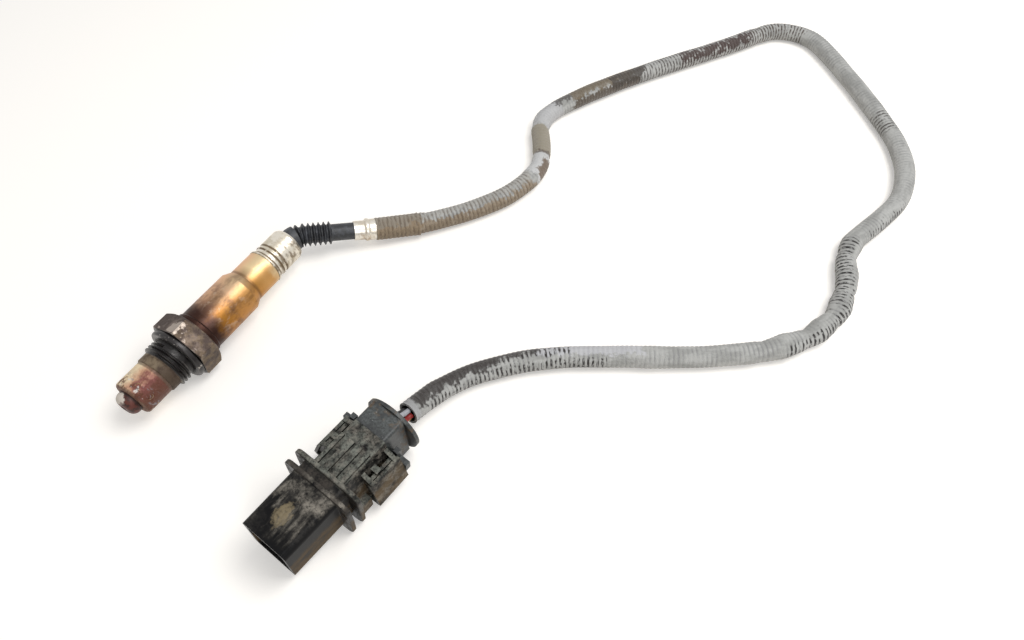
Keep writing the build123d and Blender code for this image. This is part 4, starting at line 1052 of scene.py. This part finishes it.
@dataclass(frozen=True)
class DustyNylon:
    """Black moulded nylon, satin and clean by the mouth, where its flank is kept black as a painted dark
    reflection.

    Road dust has settled on its top, behind its flanges and, browner, low on its side.
    """

    ground: str = "#0e0e0f"
    haze: str = "#2f2d2b"
    dust: str = "#8d877d"
    green_dust: str = "#777971"
    brown_dust: str = "#62523d"
    flange_dust: str = "#433e39"
    tan: str = "#8a7d63"
    tan_centre: tuple[float, float, float] = (13.6, -1.2, 11.0)
    tan_radii: tuple[tuple[float, float, float], ...] = ((4.4, 2.5, 4.0), (3.6, 1.9, 4.0))
    dusty_span: tuple[float, float] = (1.0, 9.0)
    streaked_span: tuple[float, float] = (2.0, 19.0)
    painted_reflection_span: tuple[float, float] = (2.0, 24.0)
    flange_span: tuple[float, float] = (-3.0, 2.1)
    rear_span: tuple[float, float] = (-24.0, -2.5)
    low_span: tuple[float, float] = (-12.0, 1.0)
    specular: float = 0.1

    def build(self) -> bpy.types.Material:
        """Makes the material.

        Returns:
            The finished material.
        """
        coat = Coat("dusty_black_nylon", self.ground, roughness=0.24, edge=0.3, pose=PLUG)
        coat.shader.inputs["Specular IOR Level"].default_value = self.specular
        top = coat.facing(Axis.Z.value, low=0.5, high=0.9)
        flank = coat.facing(Axis.Y.value, low=0.4, high=0.9)
        # dust catches on the mould's grain, drawn coarser than it is so that it shows
        grain = coat.blotches(size=0.7, low=0.22, high=0.62, detail=8.0, seed=16.0)
        behind_flanges = coat.span(Axis.X, *self.rear_span, feather=0.5)
        coat.lay(self.haze, coat.blotches(size=6.0, low=0.4, high=0.66, seed=4.0), grain, amount=0.8,
                 roughness=0.5)
        coat.lay(self.dust, top, grain, coat.span(Axis.X, *self.dusty_span, feather=2.0, ragged=16.0),
                 coat.blotches(size=5.0, low=0.36, high=0.66, seed=2.0), amount=1.0, roughness=0.75)
        coat.lay(self.dust, top, grain,
                 coat.blotches(size=2.6, low=0.46, high=0.72, stretch=(4, 1, 1), seed=5.0),
                 coat.span(Axis.X, *self.streaked_span, feather=3.0, ragged=9.0), amount=0.7,
                 roughness=0.7)
        for radii in self.tan_radii:
            coat.lay(self.tan, coat.spot(self.tan_centre, radii, ragged=2.4, seed=6.0),
                     coat.blotches(size=1.1, low=0.24, high=0.56, seed=21.0), amount=0.5, roughness=0.85)
        # painted reflection: the flank by the mouth is painted black over the dust, for a dark thing
        # mirrored there
        coat.lay(self.ground, flank, coat.span(Axis.X, *self.painted_reflection_span, feather=0.5), amount=0.9,
                 roughness=0.5)
        coat.lay(self.brown_dust, flank, coat.span(Axis.Z, *self.low_span, feather=2.0, ragged=5.0),
                 coat.blotches(size=5.0, low=0.3, high=0.56, stretch=(2, 1, 1), seed=9.0), amount=0.75,
                 roughness=0.7)
        coat.lay(self.green_dust, coat.facing(Axis.Z.value, low=0.2, high=0.8), behind_flanges, grain,
                 coat.blotches(size=4.0, low=0.32, high=0.62, seed=11.0), amount=1.0, roughness=0.75)
        coat.lay(self.dust, behind_flanges, grain,
                 coat.blotches(size=2.6, low=0.42, high=0.68, seed=12.0), amount=0.6, roughness=0.75)
        coat.lay(self.flange_dust, coat.span(Axis.X, *self.flange_span, feather=0.2), grain,
                 coat.blotches(size=3.0, low=0.4, high=0.66, seed=13.0), amount=0.9, roughness=0.6)
        coat.emboss(coat.cloud(0.5), depth=0.02)
        return coat.material


@dataclass(frozen=True)
class SpeckledCover:
    """Blue-black moulded cover: satin, hazed grey, with pale specks of grit and brown dirt at its rim."""

    ground: str = "#131617"
    haze: str = "#535857"
    grit: str = "#b4b9b8"
    dirt: str = "#5f4d39"
    rim_span: tuple[float, float] = (-33.0, -28.0)

    def build(self) -> bpy.types.Material:
        """Makes the material.

        Returns:
            The finished material.
        """
        coat = Coat("speckled_cover_nylon", self.ground, roughness=0.38, edge=0.3, pose=PLUG)
        grain = coat.blotches(size=0.8, low=0.3, high=0.66, detail=8.0, seed=16.0)
        coat.lay(self.haze, grain, coat.blotches(size=5.0, low=0.34, high=0.64, seed=4.0), amount=0.85,
                 roughness=0.55)
        coat.lay(self.dirt, coat.blotches(size=2.6, low=0.5, high=0.64, seed=1.0),
                 coat.span(Axis.X, *self.rim_span, feather=0.8, ragged=1.0), amount=0.75, roughness=0.7)
        coat.lay(self.grit, coat.blotches(size=0.7, low=0.67, high=0.71, seed=9.0), amount=0.7,
                 roughness=0.7)
        coat.emboss(coat.cloud(0.5), depth=0.02)
        return coat.material


@dataclass(frozen=True)
class Plain:
    """A small inner piece's finish: one colour with a fine mottle and grain.

    Fired ceramic is dull and pale, nickel and tinned brass are bright, silicone is soft and satin.
    """

    name: str
    ground: str
    roughness: float
    metallic: float = 0.0
    grain: float = 0.8
    mottle: str = "#2c2825"

    def build(self) -> bpy.types.Material:
        """Makes the material.

        Returns:
            The finished material.
        """
        coat = Coat(self.name, self.ground, roughness=self.roughness, metallic=self.metallic)
        coat.lay(self.mottle, coat.blotches(size=self.grain * 3, low=0.5, high=0.7), amount=0.2)
        coat.emboss(coat.cloud(self.grain), depth=0.01)
        return coat.material


# ------------------------------------------------------------------------------- sub-assemblies
@dataclass(frozen=True)
class Lamp:
    """A soft square lamp: its name, its place and its side in metres, and its power in watts."""

    name: str
    place: tuple[float, float, float]
    size: float
    power: float


@dataclass
class Studio:
    """Plain pale floor, soft light from above and the camera. Not part of the object."""

    floor_size: float = 6.0
    floor_colour: str = "#f4f0ea"
    floor_glow: float = 0.3
    ambient: float = 0.44
    lamps: tuple[Lamp, ...] = (
        Lamp("overhead", (-0.22, 0.32, 0.62), 0.36, 2.8),
        Lamp("side", (0.30, 0.62, 0.42), 0.30, 0.8),
    )
    lamp_aim: tuple[float, float, float] = (-0.10, 0.10, 0.0)
    camera_place: tuple[float, float, float] = (61.757 * MM, 176.939 * MM, 226.3 * MM)
    camera_aim: tuple[float, float, float] = (-0.49472, -0.29025, -0.81915)
    focal_pixels: float = 740.0
    image_width: float = 1024.0
    sensor_width: float = 36.0
    clip_start: float = 0.01

    def build(self) -> None:
        """Makes the floor, the lamps, the world and the camera."""
        self.make_floor()
        self.make_lamps()
        self.make_world()
        self.make_camera()
        bpy.context.scene.view_settings.view_transform = "Standard"

    def seen_directly(self, tree: bpy.types.NodeTree) -> Socket:
        """Tells the rays that show the background: camera, glossy and transmission rays.

        Args:
            tree: the node tree that asks.

        Returns:
            A socket that is one for such a ray.
        """
        path = add_node(tree, "ShaderNodeLightPath").outputs
        share = path["Is Camera Ray"]
        for kind in ("Is Glossy Ray", "Is Transmission Ray"):
            share = add_node(tree, "ShaderNodeMath", {0: share, 1: path[kind]},
                             operation="MAXIMUM").outputs[0]
        return share

    def make_floor(self) -> None:
        """Makes the floor, white to the camera and to mirrors, with the object's shadow kept."""
        bpy.ops.object.select_all(action="DESELECT")
        bpy.ops.mesh.primitive_plane_add(size=self.floor_size, location=(0, 0, FLOOR_Z))
        floor = bpy.context.object
        floor.name = "floor"
        material = bpy.data.materials.new("white_table")
        material.use_nodes = True
        tree = material.node_tree
        tree.nodes.clear()
        paint = add_node(tree, "ShaderNodeBsdfDiffuse", {"Color": linear(self.floor_colour)})
        glow = add_node(tree, "ShaderNodeEmission", {"Color": (1, 1, 1, 1)})
        level = add_node(tree, "ShaderNodeMath", {0: self.seen_directly(tree), 1: self.floor_glow},
                         operation="MULTIPLY")
        tree.links.new(level.outputs[0], glow.inputs["Strength"])
        both = add_node(tree, "ShaderNodeAddShader", {0: paint.outputs[0], 1: glow.outputs[0]})
        add_node(tree, "ShaderNodeOutputMaterial", {"Surface": both.outputs[0]})
        dress(floor, material)

    def make_lamps(self) -> None:
        """Makes the lamps: a large soft one overhead and a smaller one from the plug's side."""
        for lamp in self.lamps:
            light = bpy.data.lights.new(lamp.name, "AREA")
            light.size = lamp.size
            light.energy = lamp.power
            carrier = bpy.data.objects.new(lamp.name, light)
            carrier.location = lamp.place
            aim = Vector(self.lamp_aim) - Vector(lamp.place)
            carrier.rotation_euler = aim.to_track_quat("-Z", "Y").to_euler()
            bpy.context.collection.objects.link(carrier)

    def make_world(self) -> None:
        """Makes the world: a soft grey light, white where it is seen directly."""
        world = bpy.data.worlds.new("studio")
        bpy.context.scene.world = world
        world.use_nodes = True
        tree = world.node_tree
        tree.nodes.clear()
        level = add_node(tree, "ShaderNodeMapRange", {0: self.seen_directly(tree), 3: self.ambient, 4: 1.0})
        light = add_node(tree, "ShaderNodeBackground", {"Color": (1, 1, 1, 1), "Strength": level.outputs[0]})
        add_node(tree, "ShaderNodeOutputWorld", {"Surface": light.outputs[0]})

    def make_camera(self) -> None:
        """Makes the camera above the plug's side, looking down on the object."""
        camera = bpy.data.cameras.new("camera")
        camera.sensor_width = self.sensor_width
        camera.lens = self.focal_pixels / self.image_width * self.sensor_width
        camera.clip_start = self.clip_start
        carrier = bpy.data.objects.new("camera", camera)
        carrier.location = self.camera_place
        carrier.rotation_euler = Vector(self.camera_aim).to_track_quat("-Z", "Y").to_euler()
        bpy.context.collection.objects.link(carrier)
        bpy.context.scene.camera = carrier


@dataclass
class SensorHead:
    """Threaded shell, gasket, protection tubes, sleeve and what they hold."""

    nodes: dict[str, bpy.types.Object]
    hex_across_flats: float = 22.0
    hex_rear: float = -10.1
    hex_front: float = -2.3
    hex_roll: float = 22.0
    hex_rear_chamfer: float = 1.5
    hex_front_chamfer: float = 0.9
    hex_clearance: float = 0.05
    collar_rear: float = -16.6
    collar_radius: float = 8.2
    collar_chamfer: tuple[float, float] = (0.5, 1.7)
    relief_radius: float = 8.1
    relief_ends: tuple[float, float] = (0.2, 0.6)
    thread_radius: float = 9.0
    thread_root: float = 8.06
    thread_pitch: float = 1.5
    thread_start: float = 1.0
    thread_end: float = 6.2
    thread_turns: int = 3
    thread_steps: int = 72
    flank_share: float = 0.44
    flank_sink: float = 0.25
    crest_half: float = 0.12
    fade_share: float = 1 / 6
    fade_sink: float = 0.1
    neck_radius: float = 7.9
    neck_chamfer: float = 0.4
    shell_front: float = 10.0
    gas_bore_radius: float = 4.9
    chamber_radius: float = 6.0
    chamber_ends: tuple[float, float] = (-15.6, -1.0)
    tube_seat: float = 7.5
    tube_seat_radius: float = 7.45
    bore_overrun: float = 1.0
    segments: int = 96
    barrel_segments: int = 120
    crease: float = 28.0
    contact_count: int = 5
    gas_hole_station: float = 17.4
    gas_hole_count: int = 8
    deposit_radius: float = 7.12
    lump_segments: int = 24
    lump_radius: float = 0.97
    lump_flatness: float = 0.22

    def build(self) -> list[bpy.types.Object]:
        """Dresses the head's frame nodes and models the threaded shell and the deposit.

        Returns:
            The new pieces.
        """
        dress(self.nodes["sealing_ring"], FoldedGasketSteel().build())
        tube_steel = StainedTubeSteel().build()
        dress(self.nodes["outer_protection_tube"], tube_steel)
        dress(self.nodes["inner_protection_tube"], SootedTipSteel().build())
        dress(self.nodes["protective_sleeve"], HeatTintedSleeve().build())
        steatite = Plain("unglazed_steatite", "#e2dccf", 0.6).build()
        nickel = Plain("nickel_spring_strip", "#b9b4a8", 0.3, 1.0).build()
        for name in ("lower_bush", "upper_bush", "contact_holder_upper", "contact_holder_lower"):
            dress(self.nodes[name], steatite)
        dress(self.nodes["talc_packing"], Plain("pressed_talc", "#c9c8c0", 0.9).build())
        dress(self.nodes["sensing_element"], Plain("fired_zirconia", "#d4cfc4", 0.45).build())
        for name in ("holder_ring", *(f"contact_{i}" for i in range(1, self.contact_count + 1))):
            dress(self.nodes[name], nickel)
        shell = self.make_shell()
        dress(shell, BakedShellSteel().build())
        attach(shell, BODY)
        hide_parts("sensor_shell")
        deposit = self.make_deposit()
        dress(deposit, tube_steel)
        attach(deposit, BODY)
        return [shell, deposit]

    def make_deposit(self) -> bpy.types.Object:
        """Models the deposit that has closed the outer tube's gas holes from inside.

        Returns:
            The deposit, one flat lump in each hole.
        """
        lumps = []
        for i in range(self.gas_hole_count):
            turn = Matrix.Rotation(2 * math.pi * (i + 0.5) / self.gas_hole_count, 4, "X")
            place = turn @ Vector((self.gas_hole_station, 0, self.deposit_radius)) * MM
            bpy.ops.object.select_all(action="DESELECT")
            bpy.ops.mesh.primitive_uv_sphere_add(
                segments=self.lump_segments, ring_count=self.lump_segments // 2, radius=self.lump_radius * MM
            )
            lump = bpy.context.object
            sink = Matrix.Diagonal((1.0, 1.0, self.lump_flatness, 1.0))
            lump.data.transform(Matrix.Translation(place) @ turn @ sink)
            lumps.append(lump)
        join(lumps[0], lumps[1:])
        lumps[0].name = "fired_on_deposit"
        smooth(lumps[0])
        return lumps[0]

    def make_shell(self) -> bpy.types.Object:
        """Models the shell: turned body, hexagon, bore and rolled thread.

        Returns:
            The shell.
        """
        chamfer_length, chamfer_depth = self.collar_chamfer
        relief_start, relief_end = (self.hex_front + end for end in self.relief_ends)
        shell = turned(
            "shell_with_thread",
            [
                (self.collar_rear, self.collar_radius - chamfer_depth),
                (self.collar_rear + chamfer_length, self.collar_radius),
                (relief_start, self.collar_radius),
                (relief_end, self.relief_radius),
                (self.thread_start, self.thread_root),
                (self.thread_end - self.neck_chamfer, self.thread_root),
                (self.thread_end, self.neck_radius),
                (self.shell_front - self.neck_chamfer, self.neck_radius),
                (self.shell_front, self.neck_radius - self.neck_chamfer),
            ],
            self.segments,
        )
        combine(shell, self.make_hexagon(), "UNION")
        chamber_rear, chamber_front = self.chamber_ends
        bore = turned(
            "bore",
            [
                (self.collar_rear - self.bore_overrun, self.gas_bore_radius),
                (chamber_rear, self.gas_bore_radius),
                (chamber_rear, self.chamber_radius),
                (chamber_front, self.chamber_radius),
                (chamber_front, self.gas_bore_radius),
                (self.tube_seat, self.gas_bore_radius),
                (self.tube_seat, self.tube_seat_radius),
                (self.shell_front + self.bore_overrun, self.tube_seat_radius),
            ],
            self.segments,
        )
        combine(shell, bore, "DIFFERENCE")
        join(shell, [self.make_thread()])
        smooth(shell, self.crease)
        return shell

    def make_hexagon(self) -> bpy.types.Object:
        """Models the hexagon, with its corners turned back to a cone at both ends.

        Returns:
            The hexagon.
        """
        corner = self.hex_across_flats / 2 / math.cos(math.pi / 6)
        length = self.hex_front - self.hex_rear
        bpy.ops.object.select_all(action="DESELECT")
        bpy.ops.mesh.primitive_cylinder_add(
            vertices=6, radius=corner * MM, depth=length * MM,
            location=((self.hex_rear + length / 2) * MM, 0, 0), rotation=(0, math.pi / 2, 0),
        )
        hexagon = bpy.context.object
        bpy.ops.object.transform_apply(location=True, rotation=True, scale=True)
        first = hexagon.data.vertices[0].co
        turn = math.radians(self.hex_roll) - math.atan2(first.z, first.y)
        hexagon.data.transform(Matrix.Rotation(turn, 4, "X"))
        slope = math.tan(math.pi / 6)
        barrel = turned(
            "barrel",
            [
                (self.hex_rear, corner - self.hex_rear_chamfer),
                (self.hex_rear + self.hex_rear_chamfer * slope, corner + self.hex_clearance),
                (self.hex_front - self.hex_front_chamfer * slope, corner + self.hex_clearance),
                (self.hex_front, corner - self.hex_front_chamfer),
            ],
            self.barrel_segments,
        )
        combine(hexagon, barrel, "INTERSECT")
        return hexagon

    def make_thread(self) -> bpy.types.Object:
        """Models the rolled thread as a ridge screwed round the body, fading at both ends.

        Returns:
            The ridge, sunk a little into the body.
        """
        bpy.ops.object.select_all(action="DESELECT")
        bpy.ops.mesh.primitive_plane_add(size=1.0)
        ridge = bpy.context.object
        ridge.name = "thread_ridge"
        half, inside = self.thread_pitch * self.flank_share, self.thread_root - self.flank_sink
        profile = [(-half, inside), (half, inside),
                   (-self.crest_half, self.thread_radius), (self.crest_half, self.thread_radius)]
        for vertex, (x, r) in zip(ridge.data.vertices, profile):
            vertex.co = (x * MM, 0, r * MM)
        with edit_mode(ridge):
            bpy.ops.mesh.select_all(action="SELECT")
            bpy.ops.mesh.delete(type="ONLY_FACE")
        start, reach = self.thread_start + self.thread_pitch / 2, self.thread_pitch * self.thread_turns
        steps = self.thread_steps * self.thread_turns
        ridge.data.transform(Matrix.Translation((start * MM, 0, 0)))
        apply_modifier(ridge, "SCREW", axis="X", angle=2 * math.pi * self.thread_turns,
                       screw_offset=reach * MM, steps=steps, render_steps=steps, use_merge_vertices=False)
        self.fade_ends(ridge, start, start + reach)
        return ridge

    def fade_ends(self, ridge: bpy.types.Object, start: float, end: float) -> None:
        """Sinks both ends of a thread into the body over a sixth of a turn and closes them.

        Args:
            ridge: the thread's ridge.
            start: where its crest starts, in millimetres along the body.
            end: where its crest ends.
        """
        fade = self.thread_pitch * self.fade_share
        floor = self.thread_root - self.fade_sink
        for vertex in ridge.data.vertices:
            around = Vector((0, vertex.co.y, vertex.co.z))
            along = vertex.co.x / MM
            share = min(1.0, max(0.0, min(along - start + fade, end - along + fade) / (2 * fade)))
            radius = around.length / MM
            if radius > self.thread_root and share < 1.0:
                around = around.normalized() * (floor + (radius - floor) * share) * MM
                vertex.co = (vertex.co.x, around.y, around.z)
        with edit_mode(ridge):
            bpy.ops.mesh.select_non_manifold()
            bpy.ops.mesh.fill_holes(sides=0)
            face_outward()


@dataclass
class StrainRelief:
    """Crimped cap, grommet, bellows sleeve and ferrule."""

    nodes: dict[str, bpy.types.Object]
    cap_grooves: tuple[tuple[float, float], ...] = (
        (-47.9, -47.3),
        (-49.4, -48.7),
        (-51.4, -50.6),
        (-53.4, -52.6),
    )
    cap_rear: float = -62.25
    corner_x: float = -66.5
    end: tuple[float, float, float] = (-89.3, 22.2, -5.2)
    bend_radius: float = 9.0
    bend_steps: int = 24
    flange_length: float = 3.2
    flange_radius: float = 6.45
    flange_edge: float = 0.05
    flange_slope: float = 1.4
    root_radius: float = 4.9
    root_length: float = 4.0
    root_step: float = 0.3
    hose_radius: float = 3.5
    rib_radius: float = 4.8
    rib_start: float = 5.0
    rib_pitch: float = 2.05
    rib_count: int = 7
    rib_sharpness: float = 1.6
    ring_step: float = 0.14
    around: int = 48
    crease: float = 60.0

    def build(self) -> list[bpy.types.Object]:
        """Dresses the cap and ferrule and models the bellows.

        Returns:
            The new pieces.
        """
        dress(self.nodes["crimp_cap"], BrightCrimpSteel(grooves=self.cap_grooves).build())
        # the ferrule's tan along its lower side is painted shade
        ferrule = BrightCrimpSteel("bright_ferrule_steel", ground="#d9d4ca", dulled="#b9ad98",
                                   stain_and_painted_shade="#a08a70", stained_and_painted_shade_side=Side.LOWER.value)
        dress(self.nodes["crimp_ferrule"], ferrule.build())
        rubber = MouldedRubber().build()
        dress(self.nodes["cable_grommet"], rubber)
        bellows = self.make_bellows()
        dress(bellows, rubber)
        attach(bellows, BODY)
        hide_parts("bellows_sleeve")
        return [bellows]

    def path(self) -> list[Vector]:
        """Draws the line of the bellows: out of the cap, round one bend and on to the ferrule.

        Returns:
            The line's points, in metres.
        """
        start = Vector((self.cap_rear + self.flange_length, 0, 0))
        corner = Vector((self.corner_x, 0, 0))
        end = Vector(self.end)
        back, ahead = (start - corner).normalized(), (end - corner).normalized()
        half_turn = (math.pi - back.angle(ahead)) / 2
        middle = corner + (back + ahead).normalized() * (self.bend_radius / math.cos(half_turn))
        arc_start = corner + back * (self.bend_radius * math.tan(half_turn)) - middle
        hinge = ahead.cross(back)
        turns = (Matrix.Rotation(2 * half_turn * i / self.bend_steps, 3, hinge)
                 for i in range(self.bend_steps + 1))
        return [point * MM for point in (start, *(middle + turn @ arc_start for turn in turns), end)]

    def radius(self, along: float, _angle: float) -> float:
        """Gives the bellows' radius: its flange in the cap, its root, its ribs and its plain hose.

        Args:
            along: millimetres from its hidden end.
            _angle: the angle round it, which makes no difference.

        Returns:
            The radius in metres.
        """
        outside = along - self.flange_length
        if outside < -self.flange_edge:
            return min(self.flange_radius, self.root_radius - outside * self.flange_slope) * MM
        if outside < self.root_length - self.root_step:
            return self.root_radius * MM
        turns = (outside - self.rib_start) / self.rib_pitch
        if turns >= self.rib_count - 0.5:
            return self.hose_radius * MM
        crest = max(0.0, 0.5 + 0.5 * math.cos(2 * math.pi * turns)) ** self.rib_sharpness
        return (self.hose_radius + (self.rib_radius - self.hose_radius) * crest) * MM

    def make_bellows(self) -> bpy.types.Object:
        """Models the bellows sleeve with its rounded ribs."""
        bellows = swept("ribbed_bellows", evenly(self.path(), self.ring_step * MM), self.radius, self.around)
        smooth(bellows, self.crease)
        return bellows


@dataclass
class Lead:
    """Braided sleeve over the five wires, along its route on the table."""

    diameter: float = 8.6
    route: tuple[tuple[float, float, float], ...] = (
        (-89.3, 22.2, -5.2),
        (-96.72, 29.43, -6.89),
        (-110.5, 42.2, -8.27),
        (-134.0, 58.5, -8.27),
        (-157.0, 63.5, -8.27),
        (-172.0, 56.0, -8.27),
        (-185.0, 47.0, -8.27),
        (-200.0, 49.5, -8.27),
        (-227.0, 63.0, -8.27),
        (-257.0, 82.0, -8.27),
        (-281.0, 98.5, -8.27),
        (-297.0, 108.5, -8.27),
        (-310.0, 116.3, -8.27),
        (-315.0, 124.2, -8.27),
        (-316.5, 133.5, -8.27),
        (-313.5, 142.4, -8.27),
        (-302.5, 155.0, -8.27),
        (-278.0, 179.5, -8.27),
        (-251.0, 202.5, -8.27),
        (-223.0, 209.0, -8.27),
        (-200.0, 201.5, -8.27),
        (-181.0, 194.5, -8.27),
        (-160.0, 202.0, -8.27),
        (-139.0, 201.0, -8.27),
        (-119.0, 188.0, -8.27),
        (-100.0, 162.5, -8.27),
        (-84.0, 133.5, -8.27),
        (-70.0, 111.0, -8.27),
        (-52.0, 93.5, -8.27),
        (-37.0, 86.3, -6.4),
        (-24.6, 84.3, -3.6),
    )
    ring_pitch: float = 1.75
    ring_height: float = 0.16
    steps_per_ring: int = 5
    # (millimetres, millimetres along) of the unevenness of its thickness, and of its rings' wandering
    slow_swing: tuple[float, float] = (0.06, 7.3)
    quick_swing: tuple[float, float] = (0.05, 3.1)
    ring_swing: tuple[float, float] = (0.25, 5.0)
    cuff_length: float = 18.5
    cuff_swell: float = 0.5
    # (millimetres along, swell in millimetres, half length) of each crease and lump
    lumps: tuple[tuple[float, float, float], ...] = (
        (19.0, 0.45, 1.6),
        (75.0, 0.3, 3.0),
        (89.5, -0.4, 1.6),
        (108.5, -0.35, 1.6),
        (115.0, 0.3, 3.0),
        (249.0, -0.35, 2.5),
        (439.0, 0.4, 3.0),
        (446.0, -0.7, 1.6),
        (455.0, 0.4, 3.0),
        (465.0, -0.7, 1.6),
        (473.0, 0.5, 2.5),
        (481.0, -0.8, 1.8),
        (489.0, 0.55, 2.5),
        (496.0, -0.6, 1.8),
        (506.0, 0.7, 4.0),
        (515.0, -0.4, 2.0),
        (556.0, 0.2, 4.0),
        (641.0, 0.25, 3.0),
    )
    rim: float = 0.9
    mouth_depth: float = 4.0
    around: int = 28
    crease: float = 75.0

    def build(self) -> tuple[bpy.types.Object, list[Vector]]:
        """Models the sleeve.

        Returns:
            The sleeve and its line.
        """
        metres = [Vector(point) * MM for point in self.route]
        line = evenly(centreline("sleeve_line", metres), self.ring_pitch / self.steps_per_ring * MM)
        sleeve = swept("braided_lead", line, self.radius, self.around)
        dress(sleeve, BraidedFibre(self.diameter / 2, self.ring_pitch).build())
        self.open_end(sleeve, line)
        smooth(sleeve, self.crease)
        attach(sleeve, BODY)
        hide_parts("braided_sleeve")
        return sleeve, line

    def radius(self, along: float, angle: float) -> float:
        """Gives the sleeve's radius, with its cuff, lumps, creases and rings of yarn.

        Args:
            along: millimetres along the sleeve.
            angle: the angle round it.

        Returns:
            The radius in metres.
        """
        base = self.diameter / 2 - self.ring_height
        if along < self.cuff_length:
            base += self.cuff_swell
        # nothing swells downward into the table
        clear_of_table = min(1.0, 1.0 + math.sin(angle))
        for middle, swell, half_length in self.lumps:
            share = math.exp(-(((along - middle + math.cos(angle)) / half_length) ** 2))
            base += swell * share * clear_of_table
        (slow, slow_length), (quick, quick_length) = self.slow_swing, self.quick_swing
        swing = slow * math.sin(along / slow_length)
        swing += quick * math.sin(along / quick_length + 2 * math.cos(angle))
        lag, lag_length = self.ring_swing
        phase = 2 * math.pi * along / self.ring_pitch + lag * math.sin(angle + along / lag_length)
        return (base + swing - slow - quick + self.ring_height * (0.5 + 0.5 * math.sin(phase))) * MM

    def open_end(self, sleeve: bpy.types.Object, line: Sequence[Vector]) -> None:
        """Opens the sleeve's cut end at the plug, whose inside, where the wires come out, is painted near
        black as shade.

        Args:
            sleeve: the sleeve, whose last face closes that end.
            line: the sleeve's line, in metres.
        """
        # painted shade: the mouth's inside is a near-black sheet for the shade within the sleeve
        sleeve.data.materials.append(Plain("painted_shade_lining", "#0e0d0d", 0.9).build())
        only(sleeve)
        bpy.ops.object.mode_set(mode="EDIT")
        bpy.ops.mesh.select_all(action="DESELECT")
        bpy.ops.object.mode_set(mode="OBJECT")
        sleeve.data.polygons[-1].select = True
        bpy.ops.object.mode_set(mode="EDIT")
        bpy.ops.mesh.inset(thickness=self.rim * MM)
        inward = (line[-2] - line[-1]).normalized() * self.mouth_depth * MM
        bpy.ops.mesh.extrude_region_move(TRANSFORM_OT_translate={"value": inward})
        sleeve.active_material_index = 1
        bpy.ops.mesh.select_more()
        bpy.ops.object.material_slot_assign()
        bpy.ops.object.mode_set(mode="OBJECT")


@dataclass
class Plug:
    """Housing, rear cover, blades, seals and the wires that reach them."""

    nodes: dict[str, bpy.types.Object]
    blade_count: int = 6

    def build(self) -> list[bpy.types.Object]:
        """Dresses the plug's frame nodes, and the wires at both ends of the lead.

        Returns:
            The pieces on the lead's far end.
        """
        dress(self.nodes["connector_housing"], DustyNylon().build())
        dress(self.nodes["rear_cover"], SpeckledCover().build())
        silicone = Plain("red_silicone", "#9a4a30", 0.5).build()
        brass = Plain("tinned_brass", "#c9bd9c", 0.3, 1.0).build()
        blades = [f"blade_terminal_{i}" for i in range(1, self.blade_count + 1)]
        for name in ("interface_seal", "wire_seal"):
            dress(self.nodes[name], silicone)
        for name in blades:
            dress(self.nodes[name], brass)
        dress(self.nodes["trim_resistor"], Plain("resistor_glaze", "#6f8390", 0.3).build())
        wires = []
        for insulation in Insulation:
            colour = insulation.name.lower()
            wires.append(f"plug_wire_{colour}")
            plastic = Plain(f"{colour}_insulation", insulation.value, 0.4)
            for name in (wires[-1], f"sensor_wire_{colour}"):
                dress(self.nodes[name], plastic.build())
        moulded = ["connector_housing", "rear_cover", "interface_seal", "wire_seal", "trim_resistor"]
        return [self.nodes[name] for name in moulded + blades + wires]


def main() -> None:
    """Builds the sub-assemblies in order around the frame."""
    logging.basicConfig(level=logging.INFO, format="%(name)s: %(message)s")
    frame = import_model()
    nodes = frame["nodes"]
    Studio().build()
    pieces = SensorHead(nodes).build() + StrainRelief(nodes).build()
    lead = Lead()
    sleeve, line = lead.build()
    on_lead = Plug(nodes).build()
    for piece in (*pieces, sleeve, *on_lead):
        log.info("%s: %d faces", piece.name, len(piece.data.polygons))


if __name__ == "__main__":
    main()
